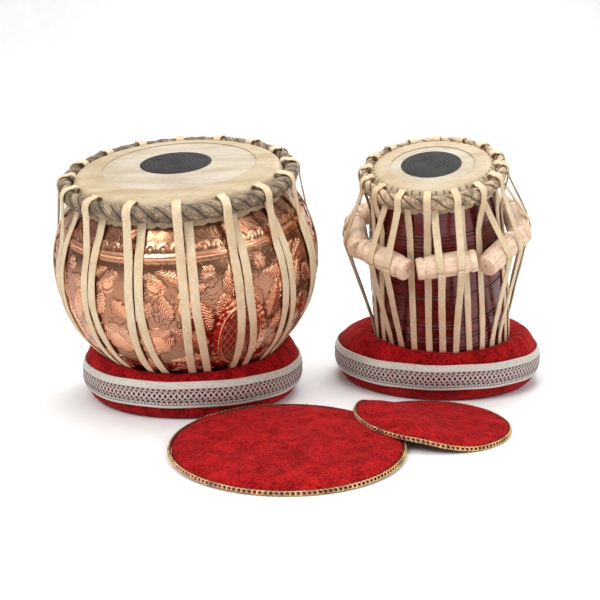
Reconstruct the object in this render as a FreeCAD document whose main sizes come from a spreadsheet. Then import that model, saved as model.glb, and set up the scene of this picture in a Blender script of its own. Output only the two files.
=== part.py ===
import FreeCAD, Part
import Sketcher
import math
import os

# A tabla set: the copper bass drum (bayan) and the wooden treble drum (dayan),
# each leaning forward on its ring cushion, with the two round velvet drumhead
# covers lying in front. Millimetres, +Z up, +X from the bayan to the dayan, the
# floor at Z = 0. Each drum is drawn about its own axis, from the middle of its base.

DIMENSIONS = {
    # bayan shell
    "bayan_height": 257, "bayan_rim_radius": 115, "bayan_rim_wall": 8,
    "bayan_neck_radius": 118, "bayan_neck_height": 236, "bayan_belly_curve": 128.6,
    "bayan_waist_height": 64, "bayan_lower_curve": 300, "bayan_foot_radius": 60,
    "bayan_foot_height": 5, "bayan_base_radius": 52, "bayan_wall": 1.6,
    # bayan head and lacing
    "bayan_skirt_radius": 118.4, "bayan_skirt_foot": 236, "bayan_field_radius": 87,
    "bayan_field_back": 12, "bayan_spot_radius": 41, "bayan_spot_side": -5,
    "bayan_spot_back": 22, "bayan_lining_width": 20, "bayan_hoop_radius": 126.8,
    "bayan_hoop_half_width": 8, "bayan_hoop_height": 250, "bayan_hoop_straight": 2,
    "bayan_strap_width": 10, "bayan_strap_end_width": 6.5, "bayan_ring_radius": 47,
    "bayan_first_loop": 4.4,
    # dayan shell
    "dayan_height": 259, "dayan_rim_radius": 68.4, "dayan_mouth_radius": 54,
    "dayan_side_curve": 1350, "dayan_foot_radius": 80, "dayan_foot_height": 8,
    "dayan_base_radius": 72, "dayan_foot_curve": 9, "dayan_cavity_floor": 84,
    "dayan_cavity_radius": 60, "dayan_cavity_round": 14,
    # dayan head and lacing
    "dayan_skirt_radius": 70.6, "dayan_skirt_foot": 239, "dayan_field_radius": 47.5,
    "dayan_field_back": 2, "dayan_spot_radius": 34.5, "dayan_spot_side": -1,
    "dayan_spot_back": 3, "dayan_lining_width": 12, "dayan_hoop_radius": 77.7,
    "dayan_hoop_half_width": 5.8, "dayan_hoop_height": 252, "dayan_hoop_straight": 4.6,
    "dayan_strap_width": 8, "dayan_strap_end_width": 7, "dayan_ring_radius": 57,
    "dayan_first_block": 0.3,
    # skins, straps and lacing rings of both drums
    "rim_round": 6, "lining_thickness": 0.8, "skin_thickness": 1, "spot_thickness": 1.2,
    "strap_thickness": 2, "strap_gap": 0.4, "ring_tube": 2.8,
    # tuning blocks
    "block_radius": 13.5, "block_half_length": 33, "block_end_radius": 9.5,
    "block_end_round": 4, "block_pin_radius": 1.5, "block_pin_depth": 6,
    "block_orbit": 93.6, "block_height": 180, "block_slope": 0.077,
    "block_lower_bend": 13, "block_gap": 1,
    # where the drums stand
    "bayan_x": -132.5, "bayan_y": 83.9, "bayan_z": 19.9,
    "dayan_x": 170.6, "dayan_y": 126.7, "dayan_z": 30.8,
    # ring cushions
    "cushion_gap": 0.7, "cushion_cloth": 2, "cushion_foot_round": 16,
    "cushion_shoulder": 20, "band_foot": 16, "band_top": 46, "band_curve": 42,
    "band_thickness": 1.5, "band_overlap": 4, "hollow_slack": 3,
    # small allowances: between pieces that touch, and on an arc beyond its half chord
    "butt_gap": 0.1, "arc_slack": 0.001,
    "bayan_cushion_radius": 127.5, "bayan_cushion_hole": 60, "bayan_cushion_height": 60,
    "bayan_cushion_x": -137.7, "bayan_cushion_y": 75.2,
    "dayan_cushion_radius": 124.5, "dayan_cushion_hole": 60, "dayan_cushion_height": 60,
    "dayan_cushion_x": 164.3, "dayan_cushion_y": 140.2,
    # drumhead covers
    "cover_pad": 5.3, "cover_lining": 1.2, "lace_width": 3, "lace_height": 5.5,
    "bayan_cover_radius": 118, "bayan_cover_x": -21.7, "bayan_cover_y": -147.8,
    "bayan_cover_z": 4.4, "bayan_cover_rise": 2, "bayan_cover_lean": 0,
    "dayan_cover_radius": 82, "dayan_cover_x": 134.3, "dayan_cover_y": -72.8,
    "dayan_cover_z": 12.2, "dayan_cover_rise": 1.2, "dayan_cover_lean": 2.6,
}

# Directions of the drums' own axes in the room.
AXES = {
    "bayan": FreeCAD.Vector(-0.0507, -0.2142, 0.9755),
    "dayan": FreeCAD.Vector(-0.1109, -0.3341, 0.9360),
}
UP = FreeCAD.Vector(0, 0, 1)
CUSHIONS = ("bayan_cushion", "dayan_cushion")
COVERS = ("bayan_cover", "dayan_cover")

# The bayan has 16 strap loops, each with a run over the hoop and one from under it.
# A run is its angle from the loop at the hoop, the belly and the base, in degrees.
LOOPS = 16
BAYAN_RUNS = {"over_hoop": (0, -0.1, -1), "under_hoop": (4.8, 4.1, 9.5)}

# The dayan has a tuning block for each pair of loops: two runs pass over it, two behind.
# A run is its angle from the block's middle at the hoop, the block and the base.
BLOCKS = 8
OVER_RUNS = {"over_hoop": (11, 7.5, 3.5), "under_hoop": (-7, -4, -6.5)}
BEHIND_RUNS = {"over_hoop": (-11.5, -14, -17.5), "under_hoop": (15.5, 17, 16)}
BLOCK_TILTS = (3, 7.5, 7, 4, -3, 5, -4, -7)
BLOCK_LIFTS = (3.5, -2.5, -3, -2, 1, -1, 2, 3)

# Heights on the shells at which a run has a section, from the top down.
BAYAN_NECK_HEIGHTS = (222, 213)
BAYAN_STRAP_HEIGHTS = (204, 191, 178, 164, 150, 135, 120, 106, 92, 78, 64, 52, 40, 30, 20, 13, 7)
DAYAN_SIDE_HEIGHTS = (208, 186, 166, 140, 105)
DAYAN_FOOT_HEIGHTS = (64, 36, 14)

# Where a run has a section as it bends over the hoop and round the foot, in degrees,
# and how many sections it has as it bends over a block.
OVER_HOOP_SLOPES = (0, 30, 60, 90)
FOOT_SLOPES = {"bayan": (55,), "dayan": (20, 45, 70)}
OVER_BLOCK_BENDS = 6

doc = FreeCAD.newDocument("tabla")
sheet = doc.addObject("Spreadsheet::Sheet", "sizes")
for row, (alias, value) in enumerate(DIMENSIONS.items(), start=1):
    sheet.set(f"A{row}", alias)
    sheet.set(f"B{row}", str(value))
    sheet.setAlias(f"B{row}", alias)
doc.recompute()

parts = []


def size(expression):
    """The value of an expression on the sheet."""
    return float(sheet.evalExpression(str(expression)))


def finish(piece, label, placement):
    """Gives a finished sub-part its name and its place, and lists it for writing."""
    piece.Label = label
    piece.Placement = placement
    parts.append(piece)


def drum_place(drum):
    """The place of a drum's own frame: the middle of its base, +Z up its axis."""
    base = FreeCAD.Vector(size(f"{drum}_x"), size(f"{drum}_y"), size(f"{drum}_z"))
    return FreeCAD.Placement(base, FreeCAD.Rotation(UP, AXES[drum]))


def floor_place(piece):
    """The place of a cushion's own frame, on the floor."""
    spot = FreeCAD.Vector(size(f"{piece}_x"), size(f"{piece}_y"), 0)
    return FreeCAD.Placement(spot, FreeCAD.Rotation())


def around(angle, radius, height):
    """A point about a drum's axis; angle 0 faces the player's front, going right."""
    turn = math.radians(angle)
    return FreeCAD.Vector(radius * math.sin(turn), -radius * math.cos(turn), height)


# ---- turned pieces: a sketch in a half plane, revolved about its own vertical axis ----

def arc_between(start, end, curve):
    """An arc between two corners; a positive curve bulges to the right of the way there.

    It always runs anticlockwise, so with a negative curve it starts at the end corner.
    """
    chord = end - start
    half = chord.Length / 2
    sagitta = abs(curve) - math.sqrt(curve * curve - half * half)
    right = FreeCAD.Vector(chord.y, -chord.x, 0).normalize()
    peak = (start + end) * 0.5 + right * math.copysign(sagitta, curve)
    return Part.Arc(start, peak, end) if curve > 0 else Part.Arc(end, peak, start)


def bind(sketch, constraint, expression):
    """Adds a constraint whose value is an expression on the sheet."""
    index = sketch.addConstraint(constraint)
    sketch.setExpression(f"Constraints[{index}]", expression)


def on_sheet(expression):
    """The same expression written for an object outside the sheet."""
    words = expression
    for alias in sorted(DIMENSIONS, key=len, reverse=True):
        words = words.replace(alias, "\0" + str(list(DIMENSIONS).index(alias)) + "\1")
    for index, alias in enumerate(DIMENSIONS):
        words = words.replace("\0" + str(index) + "\1", "sizes." + alias)
    return words


def bind_corner(sketch, edge, end, across, up):
    """Ties a corner of an outline to its radius and its height."""
    if abs(size(across)) < 1e-9:
        sketch.addConstraint(Sketcher.Constraint("PointOnObject", edge, end, -2))
    else:
        distance = Sketcher.Constraint("DistanceX", -1, 1, edge, end, size(across))
        bind(sketch, distance, on_sheet(across))
    if abs(size(up)) < 1e-9:
        sketch.addConstraint(Sketcher.Constraint("PointOnObject", edge, end, -1))
    else:
        distance = Sketcher.Constraint("DistanceY", -1, 1, edge, end, size(up))
        bind(sketch, distance, on_sheet(up))


def turned(name, outline):
    """A body revolved about its own Z axis from an outline of (radius, height, curve).

    Each entry is a corner, with the radius of the arc from it to the next corner,
    or None for a straight edge.
    """
    body = doc.addObject("PartDesign::Body", name)
    sketch = body.newObject("Sketcher::SketchObject", name + "_outline")
    plane = next(item for item in body.Origin.OriginFeatures if item.Role == "XZ_Plane")
    sketch.AttachmentSupport = [(plane, "")]
    sketch.MapMode = "FlatFace"
    corners = [FreeCAD.Vector(size(across), size(up), 0) for across, up, curve in outline]
    near_ends = []
    for index, (across, up, curve) in enumerate(outline):
        start = corners[index]
        end = corners[(index + 1) % len(corners)]
        edge = arc_between(start, end, size(curve)) if curve else Part.LineSegment(start, end)
        sketch.addGeometry(edge, False)
        near_ends.append(2 if curve and size(curve) < 0 else 1)
    for index, (across, up, curve) in enumerate(outline):
        before = index - 1 if index else len(outline) - 1
        far_end = 3 - near_ends[before]
        join = Sketcher.Constraint("Coincident", before, far_end, index, near_ends[index])
        sketch.addConstraint(join)
        bind_corner(sketch, index, near_ends[index], across, up)
        if curve:
            radius = Sketcher.Constraint("Radius", index, abs(size(curve)))
            bind(sketch, radius, on_sheet(curve.lstrip("-")))
    turn = body.newObject("PartDesign::Revolution", name + "_turned")
    turn.Profile = sketch
    turn.ReferenceAxis = (sketch, ["V_Axis"])
    turn.Angle = 360
    body.Tip = turn
    return body


def cut(name, solid, tool):
    """Solid minus tool, both left in the document as the cut's own inputs."""
    piece = doc.addObject("Part::Cut", name)
    piece.Base = solid
    piece.Tool = tool
    return piece


# ---- shells ----

def bayan_shell():
    """The copper bowl: base, lower curve, belly, neck and rounded rim, open at the top."""
    inside = "bayan_neck_radius - bayan_wall"
    shell = turned("bayan_copper", [
        ("0", "0", None),
        ("bayan_base_radius", "0", None),
        ("bayan_foot_radius", "bayan_foot_height", "bayan_lower_curve"),
        ("bayan_neck_radius", "bayan_waist_height", "bayan_belly_curve"),
        ("bayan_neck_radius", "bayan_neck_height", None),
        ("bayan_rim_radius", "bayan_height - rim_round", "rim_round"),
        ("bayan_rim_radius - rim_round", "bayan_height", None),
        ("bayan_rim_radius - bayan_rim_wall", "bayan_height", None),
        ("bayan_rim_radius - bayan_rim_wall", "bayan_height - rim_round", None),
        (inside, "bayan_neck_height", "-bayan_belly_curve"),
        (inside, "bayan_waist_height", "-bayan_lower_curve"),
        ("bayan_foot_radius - bayan_wall", "bayan_foot_height + bayan_wall", None),
        ("bayan_base_radius - bayan_wall", "bayan_wall", None),
        ("0", "bayan_wall", None),
    ])
    finish(shell, "bayan_shell", drum_place("bayan"))


def dayan_shell():
    """The turned wooden barrel, hollow from its rim down to a thick floor."""
    shell = turned("dayan_wood", [
        ("0", "0", None),
        ("dayan_base_radius", "0", "dayan_foot_curve"),
        ("dayan_foot_radius", "dayan_foot_height", "dayan_side_curve"),
        ("dayan_rim_radius", "dayan_height - rim_round", "rim_round"),
        ("dayan_rim_radius - rim_round", "dayan_height", None),
        ("dayan_mouth_radius", "dayan_height", None),
        ("dayan_cavity_radius", "dayan_cavity_floor + dayan_cavity_round",
         "-dayan_cavity_round"),
        ("dayan_cavity_radius - dayan_cavity_round", "dayan_cavity_floor", None),
        ("0", "dayan_cavity_floor", None),
    ])
    finish(shell, "dayan_shell", drum_place("dayan"))


# ---- heads: lining ring, main skin, outer skin, black spot and braided hoop ----

def skin_outline(drum, lower, upper):
    """A skin drawn tight over a drum's rim, between two levels above the bare rim."""
    flat = f"{drum}_rim_radius - rim_round"
    side = f"{drum}_height - rim_round"
    foot = f"{drum}_skirt_foot"
    return [
        ("0", f"{drum}_height + {lower}", None),
        (flat, f"{drum}_height + {lower}", f"-(rim_round + {lower})"),
        (f"{drum}_rim_radius + {lower}", side, None),
        (f"{drum}_skirt_radius + {lower}", foot, None),
        (f"{drum}_skirt_radius + {upper}", foot, None),
        (f"{drum}_rim_radius + {upper}", side, f"rim_round + {upper}"),
        (flat, f"{drum}_height + {upper}", None),
        ("0", f"{drum}_height + {upper}", None),
    ]


def disc_on_head(name, drum, which, floor, thickness):
    """A disc on a drumhead, set towards the back of the drum."""
    disc = doc.addObject("Part::Cylinder", name)
    disc.setExpression("Radius", f"sizes.{drum}_{which}_radius")
    disc.setExpression("Height", on_sheet(thickness))
    disc.setExpression("Placement.Base.y", f"sizes.{drum}_{which}_back")
    disc.setExpression("Placement.Base.z", on_sheet(f"{drum}_height + {floor}"))
    return disc


def drumhead(drum):
    """The three skins of one head, each its own piece, and the black spot on top."""
    place = drum_place(drum)
    main_top = "lining_thickness + skin_thickness"
    outer_top = "lining_thickness + 2 * skin_thickness"
    lining_edge = f"{drum}_rim_radius - rim_round"
    lining = turned(f"{drum}_lining_ring", [
        (f"{lining_edge} - {drum}_lining_width", f"{drum}_height", None),
        (lining_edge, f"{drum}_height", None),
        (lining_edge, f"{drum}_height + lining_thickness", None),
        (f"{lining_edge} - {drum}_lining_width", f"{drum}_height + lining_thickness", None),
    ])
    finish(lining, f"{drum}_inner_skin", place)
    main = turned(f"{drum}_playing_skin", skin_outline(drum, "lining_thickness", main_top))
    finish(main, f"{drum}_main_skin", place)
    outer = turned(f"{drum}_edge_skin", skin_outline(drum, main_top, outer_top))
    opening = disc_on_head(f"{drum}_field", drum, "field", "0", f"{drum}_height - {drum}_skirt_foot")
    finish(cut(f"{drum}_ring_skin", outer, opening), f"{drum}_outer_skin", place)


def black_spot(drum):
    """The round of hardened paste on the main skin."""
    spot = doc.addObject("Part::Cylinder", f"{drum}_paste")
    spot.setExpression("Radius", f"sizes.{drum}_spot_radius")
    spot.setExpression("Height", "sizes.spot_thickness")
    level = size(f"{drum}_height + lining_thickness + skin_thickness")
    centre = FreeCAD.Vector(size(f"{drum}_spot_side"), size(f"{drum}_spot_back"), level)
    on_head = FreeCAD.Placement(centre, FreeCAD.Rotation())
    finish(spot, f"{drum}_black_spot", drum_place(drum).multiply(on_head))


def hoop(drum):
    """The braided hoop round the head, an upright oval in section."""
    outside = f"{drum}_hoop_radius + {drum}_hoop_half_width"
    inside = f"{drum}_hoop_radius - {drum}_hoop_half_width"
    low = f"{drum}_hoop_height - {drum}_hoop_straight / 2"
    high = f"{drum}_hoop_height + {drum}_hoop_straight / 2"
    braid = turned(f"{drum}_braid", [
        (inside, low, f"{drum}_hoop_half_width + arc_slack"),
        (outside, low, None),
        (outside, high, f"{drum}_hoop_half_width + arc_slack"),
        (inside, high, None),
    ])
    finish(braid, f"{drum}_hoop_braid", drum_place(drum))


def bottom_ring(drum):
    """The small leather ring under the base that the straps are laced to."""
    ring = doc.addObject("Part::Torus", f"{drum}_lacing_ring")
    ring.setExpression("Radius1", f"sizes.{drum}_ring_radius")
    ring.setExpression("Radius2", "sizes.ring_tube")
    lowered = FreeCAD.Placement(FreeCAD.Vector(0, 0, -size("ring_tube + butt_gap")), FreeCAD.Rotation())
    finish(ring, f"{drum}_bottom_ring", drum_place(drum).multiply(lowered))


# ---- straps: flat strips swept down each drum, as lofts between upright sections ----

def arc_centre(start, end, curve):
    """The centre of an arc of a shell's outline that bulges outward on its way up."""
    chord = end - start
    half = chord.Length / 2
    inward = FreeCAD.Vector(-chord.y, chord.x, 0).normalize()
    return (start + end) * 0.5 + inward * math.sqrt(curve * curve - half * half)


def radius_on_arc(start, end, curve, height):
    """The radius of such an arc at a height."""
    centre = arc_centre(start, end, curve)
    return centre.x + math.sqrt(curve * curve - (height - centre.y) ** 2)


def bayan_radius(height):
    """The outside radius of the bayan's shell at a height."""
    neck = FreeCAD.Vector(size("bayan_neck_radius"), size("bayan_neck_height"), 0)
    waist = FreeCAD.Vector(size("bayan_neck_radius"), size("bayan_waist_height"), 0)
    foot = FreeCAD.Vector(size("bayan_foot_radius"), size("bayan_foot_height"), 0)
    if height > waist.y:
        return radius_on_arc(waist, neck, size("bayan_belly_curve"), height)
    return radius_on_arc(foot, waist, size("bayan_lower_curve"), height)


def dayan_radius(height):
    """The outside radius of the dayan's shell at a height."""
    foot = FreeCAD.Vector(size("dayan_foot_radius"), size("dayan_foot_height"), 0)
    rim = FreeCAD.Vector(size("dayan_rim_radius"), size("dayan_height - rim_round"), 0)
    return radius_on_arc(foot, rim, size("dayan_side_curve"), height)


def angle_at(height, levels, angles):
    """The angle of a run at a height, between its angles at three levels, top first."""
    top, middle, bottom = levels
    if height > middle:
        share = min(1, (height - middle) / (top - middle))
        return angles[1] + (angles[0] - angles[1]) * share
    share = min(1, (middle - height) / (middle - bottom))
    return angles[1] + (angles[2] - angles[1]) * share


def strap(path, levels, angles, widths):
    """One flat strip along a path of (radius, height), from the hoop to the base."""
    thickness = size("strap_thickness")
    sections = []
    for index, (radius, height) in enumerate(path):
        ahead = path[min(index + 1, len(path) - 1)]
        behind = path[max(index - 1, 0)]
        way = FreeCAD.Vector(ahead[0] - behind[0], ahead[1] - behind[1], 0).normalize()
        angle = angle_at(height, levels, angles)
        share = min(1, max(0, (levels[1] - height) / (levels[1] - levels[2])))
        half_width = (widths[0] + (widths[1] - widths[0]) * share) / 2
        side = FreeCAD.Vector(math.cos(math.radians(angle)), math.sin(math.radians(angle)), 0)
        corners = []
        for across, out in ((-1, -1), (1, -1), (1, 1), (-1, 1)):
            lift = out * thickness / 2
            middle = around(angle, radius - way.y * lift, height + way.x * lift)
            corners.append(middle + side * (across * half_width))
        sections.append(Part.makePolygon(corners + corners[:1]))
    return Part.makeLoft(sections, True, True)


def down_the_shell(drum, heights):
    """The path of a strap that lies on a shell, a hair clear of it."""
    radius_at = bayan_radius if drum == "bayan" else dayan_radius
    clear = size("strap_thickness / 2 + strap_gap")
    path = []
    for height in heights:
        radius = radius_at(height)
        outward = FreeCAD.Vector(1, radius - radius_at(height + 1), 0).normalize()
        path.append((radius + outward.x * clear, height + outward.y * clear))
    return path


def over_hoop(drum):
    """The start of a run that comes up through the head and over the hoop."""
    top = size(f"{drum}_height + lining_thickness + 2 * skin_thickness + strap_thickness / 2")
    clear = size("strap_thickness / 2 + strap_gap")
    middle = size(f"{drum}_hoop_radius")
    reach = size(f"{drum}_hoop_half_width") + clear
    high = size(f"{drum}_hoop_height + {drum}_hoop_straight / 2")
    low = size(f"{drum}_hoop_height - {drum}_hoop_straight / 2")
    path = [
        (size(f"{drum}_rim_radius - rim_round"), top + clear / 2),
        (size(f"{drum}_rim_radius"), top + clear / 2),
    ]
    for slope in OVER_HOOP_SLOPES:
        lean = math.radians(slope)
        path.append((middle + reach * math.sin(lean), high + reach * math.cos(lean)))
    return path + [(middle + reach, low - reach / 2)]


def under_hoop(drum):
    """The start of a run that comes out between the skin's skirt and the hoop."""
    clear = size("lining_thickness + 2 * skin_thickness + strap_thickness / 2 + strap_gap")
    low = size(f"{drum}_hoop_height - {drum}_hoop_straight / 2 - {drum}_hoop_half_width")
    return [(size(f"{drum}_skirt_radius") + clear, low - size("strap_thickness"))]


def to_bottom_ring(drum):
    """The end of a run, round the edge of the base and in to the bottom ring."""
    clear = size("strap_thickness / 2 + strap_gap")
    base = size(f"{drum}_base_radius")
    ring = size(f"{drum}_ring_radius + ring_tube") + clear
    foot = FreeCAD.Vector(size(f"{drum}_foot_radius"), size(f"{drum}_foot_height"), 0)
    if drum == "bayan":
        centre, reach = foot, clear
    else:
        curve = size("dayan_foot_curve")
        centre = arc_centre(FreeCAD.Vector(base, 0, 0), foot, curve)
        reach = curve + clear
    path = []
    for slope in FOOT_SLOPES[drum]:
        lean = math.radians(slope)
        path.append((centre.x + reach * math.cos(lean), centre.y - reach * math.sin(lean)))
    return path + [(base + clear, -clear), (ring, -clear)]


def feature(name, solids):
    """A document object that holds solids made from sections."""
    piece = doc.addObject("Part::Feature", name)
    piece.Shape = Part.makeCompound(solids)
    return piece


def bayan_straps():
    """All 32 runs of the bayan's lacing."""
    levels = (size("bayan_hoop_height"), size("bayan_neck_height + bayan_waist_height") / 2, 0)
    widths = (size("bayan_strap_width"), size("bayan_strap_end_width"))
    ends = down_the_shell("bayan", BAYAN_STRAP_HEIGHTS) + to_bottom_ring("bayan")
    neck = down_the_shell("bayan", BAYAN_NECK_HEIGHTS)
    starts = {"over_hoop": over_hoop("bayan"), "under_hoop": under_hoop("bayan") + neck}
    runs = []
    for loop in range(LOOPS):
        turn = size("bayan_first_loop") + loop * 360 / LOOPS
        for start, angles in BAYAN_RUNS.items():
            turned_angles = [turn + angle for angle in angles]
            runs.append(strap(starts[start] + ends, levels, turned_angles, widths))
    finish(feature("bayan_lacing", runs), "bayan_straps", drum_place("bayan"))


def block_centre(index):
    """Where a tuning block's middle is: its angle, its radius and its height."""
    angle = size("dayan_first_block") + index * 360 / BLOCKS
    radius = size("block_orbit") - BLOCK_LIFTS[index] * size("block_slope")
    return angle, radius, size("block_height") + BLOCK_LIFTS[index]


def over_block(start, index, angle):
    """The path from a start above a tuning block, round its outer side.

    The block is straight and tilted, so at an angle from its middle its axis is
    further out and higher or lower.
    """
    middle, orbit, level = block_centre(index)
    aside = orbit * math.tan(math.radians(angle))
    radius = math.hypot(orbit, aside)
    height = level + aside * math.tan(math.radians(BLOCK_TILTS[index]))
    reach = size("block_radius + strap_thickness / 2 + block_gap")
    away = FreeCAD.Vector(start[-1][0] - radius, start[-1][1] - height, 0)
    first = math.atan2(away.y, away.x) - math.acos(reach / away.Length)
    last = -math.radians(size("block_lower_bend"))
    bends = [first + (last - first) * step / (OVER_BLOCK_BENDS - 1)
             for step in range(OVER_BLOCK_BENDS)]
    return start + [(radius + reach * math.cos(b), height + reach * math.sin(b)) for b in bends]


def dayan_straps():
    """The dayan's lacing: a pair of runs over each block, and the runs behind them."""
    levels = (size("dayan_hoop_height"), size("block_height"), 0)
    widths = (size("dayan_strap_width"), size("dayan_strap_end_width"))
    ends = down_the_shell("dayan", DAYAN_FOOT_HEIGHTS) + to_bottom_ring("dayan")
    behind_ends = down_the_shell("dayan", DAYAN_SIDE_HEIGHTS) + ends
    starts = {"over_hoop": over_hoop("dayan"), "under_hoop": under_hoop("dayan")}
    behind = []
    for index in range(BLOCKS):
        middle = block_centre(index)[0]
        over = []
        for start, angles in OVER_RUNS.items():
            path = over_block(starts[start], index, angles[1]) + ends
            over.append(strap(path, levels, [middle + angle for angle in angles], widths))
        name = f"straps_over_block_{index + 1}"
        finish(feature(f"block_lacing_{index + 1}", over), name, drum_place("dayan"))
        for start, angles in BEHIND_RUNS.items():
            path = starts[start] + behind_ends
            behind.append(strap(path, levels, [middle + angle for angle in angles], widths))
    finish(feature("dayan_lacing", behind), "dayan_straps_behind", drum_place("dayan"))


# ---- tuning blocks ----

def tuning_blocks():
    """Eight turned wooden dowels with rounded ends and a lathe-centre hole in each end."""
    half = "block_half_length"
    shoulder = f"{half} - block_end_round"
    hole = f"{half} - block_pin_depth"
    for index in range(BLOCKS):
        block = turned(f"dowel_{index + 1}", [
            ("0", f"-({hole})", None),
            ("block_pin_radius", f"-({hole})", None),
            ("block_pin_radius", f"-{half}", None),
            ("block_end_radius", f"-{half}", "block_end_round + arc_slack"),
            ("block_radius", f"-({shoulder})", None),
            ("block_radius", shoulder, "block_end_round + arc_slack"),
            ("block_end_radius", half, None),
            ("block_pin_radius", half, None),
            ("block_pin_radius", hole, None),
            ("0", hole, None),
        ])
        angle, radius, height = block_centre(index)
        tilt = math.radians(BLOCK_TILTS[index])
        turn = math.radians(angle)
        level = math.cos(tilt)
        lie = FreeCAD.Vector(level * math.cos(turn), level * math.sin(turn), math.sin(tilt))
        local = FreeCAD.Placement(around(angle, radius, height), FreeCAD.Rotation(UP, lie))
        finish(block, f"tuning_block_{index + 1}", drum_place("dayan").multiply(local))


# ---- ring cushions: cloth cover, filling and brocade band, hollowed where the drum sits ----

def ring_outline(cushion, cloth):
    """The section of a ring cushion, set in by the thickness of its cloth."""
    outside = f"{cushion}_radius - {cloth}"
    inside = f"{cushion}_hole + {cloth}"
    top = f"{cushion}_height - {cloth}"
    round_in = f"cushion_foot_round - {cloth}"
    shoulder_in = f"cushion_shoulder - {cloth}"
    return [
        (f"{cushion}_hole + cushion_foot_round", cloth, None),
        (f"{cushion}_radius - cushion_foot_round", cloth, f"{round_in} + arc_slack"),
        (outside, "cushion_foot_round", "band_curve"),
        (outside, f"{cushion}_height - cushion_shoulder + band_overlap", f"{shoulder_in}"),
        (f"{cushion}_radius - cushion_shoulder", top, None),
        (f"{cushion}_hole + cushion_shoulder", top, f"{shoulder_in} + arc_slack"),
        (inside, f"{cushion}_height - cushion_shoulder", None),
        (inside, "cushion_foot_round", f"{round_in} + arc_slack"),
    ]


def drum_hollow(drum, gap, name):
    """The space that a drum and its lacing take in its cushion, and lift out through."""
    straps = f"(strap_thickness + 2 * strap_gap + {gap})"
    ring = f"(2 * ring_tube + {gap})"
    if drum == "bayan":
        belly = f"bayan_neck_radius + hollow_slack + {straps}"
        outline = [
            ("0", f"-{ring}", None),
            (f"bayan_base_radius + {gap}", f"-{ring}", None),
            (f"bayan_foot_radius + {straps}", f"bayan_foot_height - {straps}", "bayan_lower_curve"),
            (belly, "bayan_waist_height - hollow_slack", "bayan_belly_curve + hollow_slack"),
            (belly, "bayan_neck_height + hollow_slack", None),
            ("0", "bayan_neck_height + hollow_slack", None),
        ]
    else:
        side = f"dayan_foot_radius + hollow_slack + {straps}"
        outline = [
            ("0", f"-{ring}", None),
            (f"dayan_base_radius + hollow_slack + {gap}", f"-{ring}", None),
            (f"dayan_foot_radius + {straps}", "0", None),
            (side, "2 * dayan_foot_height", None),
            (side, "dayan_height", None),
            ("0", "dayan_height", None),
        ]
    hollow = turned(name, outline)
    hollow.Placement = drum_place(drum)
    return hollow


def set_on_floor(piece, cushion):
    """Moves a ring to its place before the leaning drum is cut out of it."""
    piece.setExpression("Placement.Base.x", f"sizes.{cushion}_x")
    piece.setExpression("Placement.Base.y", f"sizes.{cushion}_y")
    return piece


def ring_cushion(cushion):
    drum = cushion.removesuffix("_cushion")
    at_home = FreeCAD.Placement()
    core_gap = "(cushion_gap + cushion_cloth)"
    ring = set_on_floor(turned(f"{cushion}_ring", ring_outline(cushion, "0")), cushion)
    stuffing = turned(f"{cushion}_stuffing", ring_outline(cushion, "cushion_cloth"))
    wide_hollow = drum_hollow(drum, core_gap, f"{cushion}_wide_hollow")
    core = cut(f"{cushion}_core", set_on_floor(stuffing, cushion), wide_hollow)
    finish(core, f"{cushion}_filling", at_home)
    hollow = drum_hollow(drum, "cushion_gap", f"{cushion}_hollow")
    hollowed = cut(f"{cushion}_hollowed", ring, hollow)
    finish(cut(f"{cushion}_skin", hollowed, core), f"{cushion}_cover", at_home)
    edge = f"{cushion}_radius + butt_gap"
    band = turned(f"{cushion}_braid", [
        (edge, "band_foot", "band_curve"),
        (edge, "band_top", None),
        (f"{edge} + band_thickness", "band_top", "-band_curve"),
        (f"{edge} + band_thickness", "band_foot", None),
    ])
    finish(band, f"{cushion}_band", floor_place(cushion))


# ---- drumhead covers: padded velvet disc, lining and lace edge ----

def cover_place(cover, level):
    """The place of one layer of a cover, whose far edge lies a little higher."""
    rise = FreeCAD.Rotation(FreeCAD.Vector(1, 0, 0), size(f"{cover}_rise"))
    lean = FreeCAD.Rotation(FreeCAD.Vector(0, 1, 0), size(f"{cover}_lean"))
    spot = FreeCAD.Vector(size(f"{cover}_x"), size(f"{cover}_y"), size(f"{cover}_z"))
    lie = FreeCAD.Placement(spot, rise.multiply(lean))
    return lie.multiply(FreeCAD.Placement(UP * size(level), FreeCAD.Rotation()))


def cover_disc(cover, layer, thickness, level):
    disc = doc.addObject("Part::Cylinder", f"{cover}_{layer}_disc")
    disc.setExpression("Radius", f"sizes.{cover}_radius")
    disc.setExpression("Height", f"sizes.{thickness}")
    finish(disc, f"{cover}_{layer}", cover_place(cover, level))


def drumhead_cover(cover):
    cover_disc(cover, "lining", "cover_lining", "0")
    cover_disc(cover, "pad", "cover_pad", "cover_lining")
    edge = f"{cover}_radius + butt_gap"
    lace = turned(f"{cover}_edging", [
        (edge, "0", None),
        (f"{edge} + lace_width", "0", None),
        (f"{edge} + lace_width", "lace_height", None),
        (edge, "lace_height", None),
    ])
    finish(lace, f"{cover}_lace", cover_place(cover, "0"))


bayan_shell()
dayan_shell()
for drum_name in AXES:
    drumhead(drum_name)
    black_spot(drum_name)
    hoop(drum_name)
    bottom_ring(drum_name)
bayan_straps()
dayan_straps()
tuning_blocks()
for cushion_name in CUSHIONS:
    ring_cushion(cushion_name)
for cover_name in COVERS:
    drumhead_cover(cover_name)

doc.recompute()

for item in doc.Objects:
    if "Invalid" in item.State or "Error" in item.State:
        raise RuntimeError(f"{item.Name} did not compute: {item.State}")
for piece in parts:
    if piece.Shape.isNull() or not piece.Shape.isValid():
        raise RuntimeError(f"{piece.Label} has no valid shape")

os.makedirs("parts", exist_ok=True)
for piece in parts:
    piece.Shape.exportStep(f"parts/{piece.Label}.step")
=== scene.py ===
import math

import bmesh
import bpy
import numpy as np
from bpy.props import FloatProperty, FloatVectorProperty, IntProperty, PointerProperty
from mathutils import Matrix, Vector, noise


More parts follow.
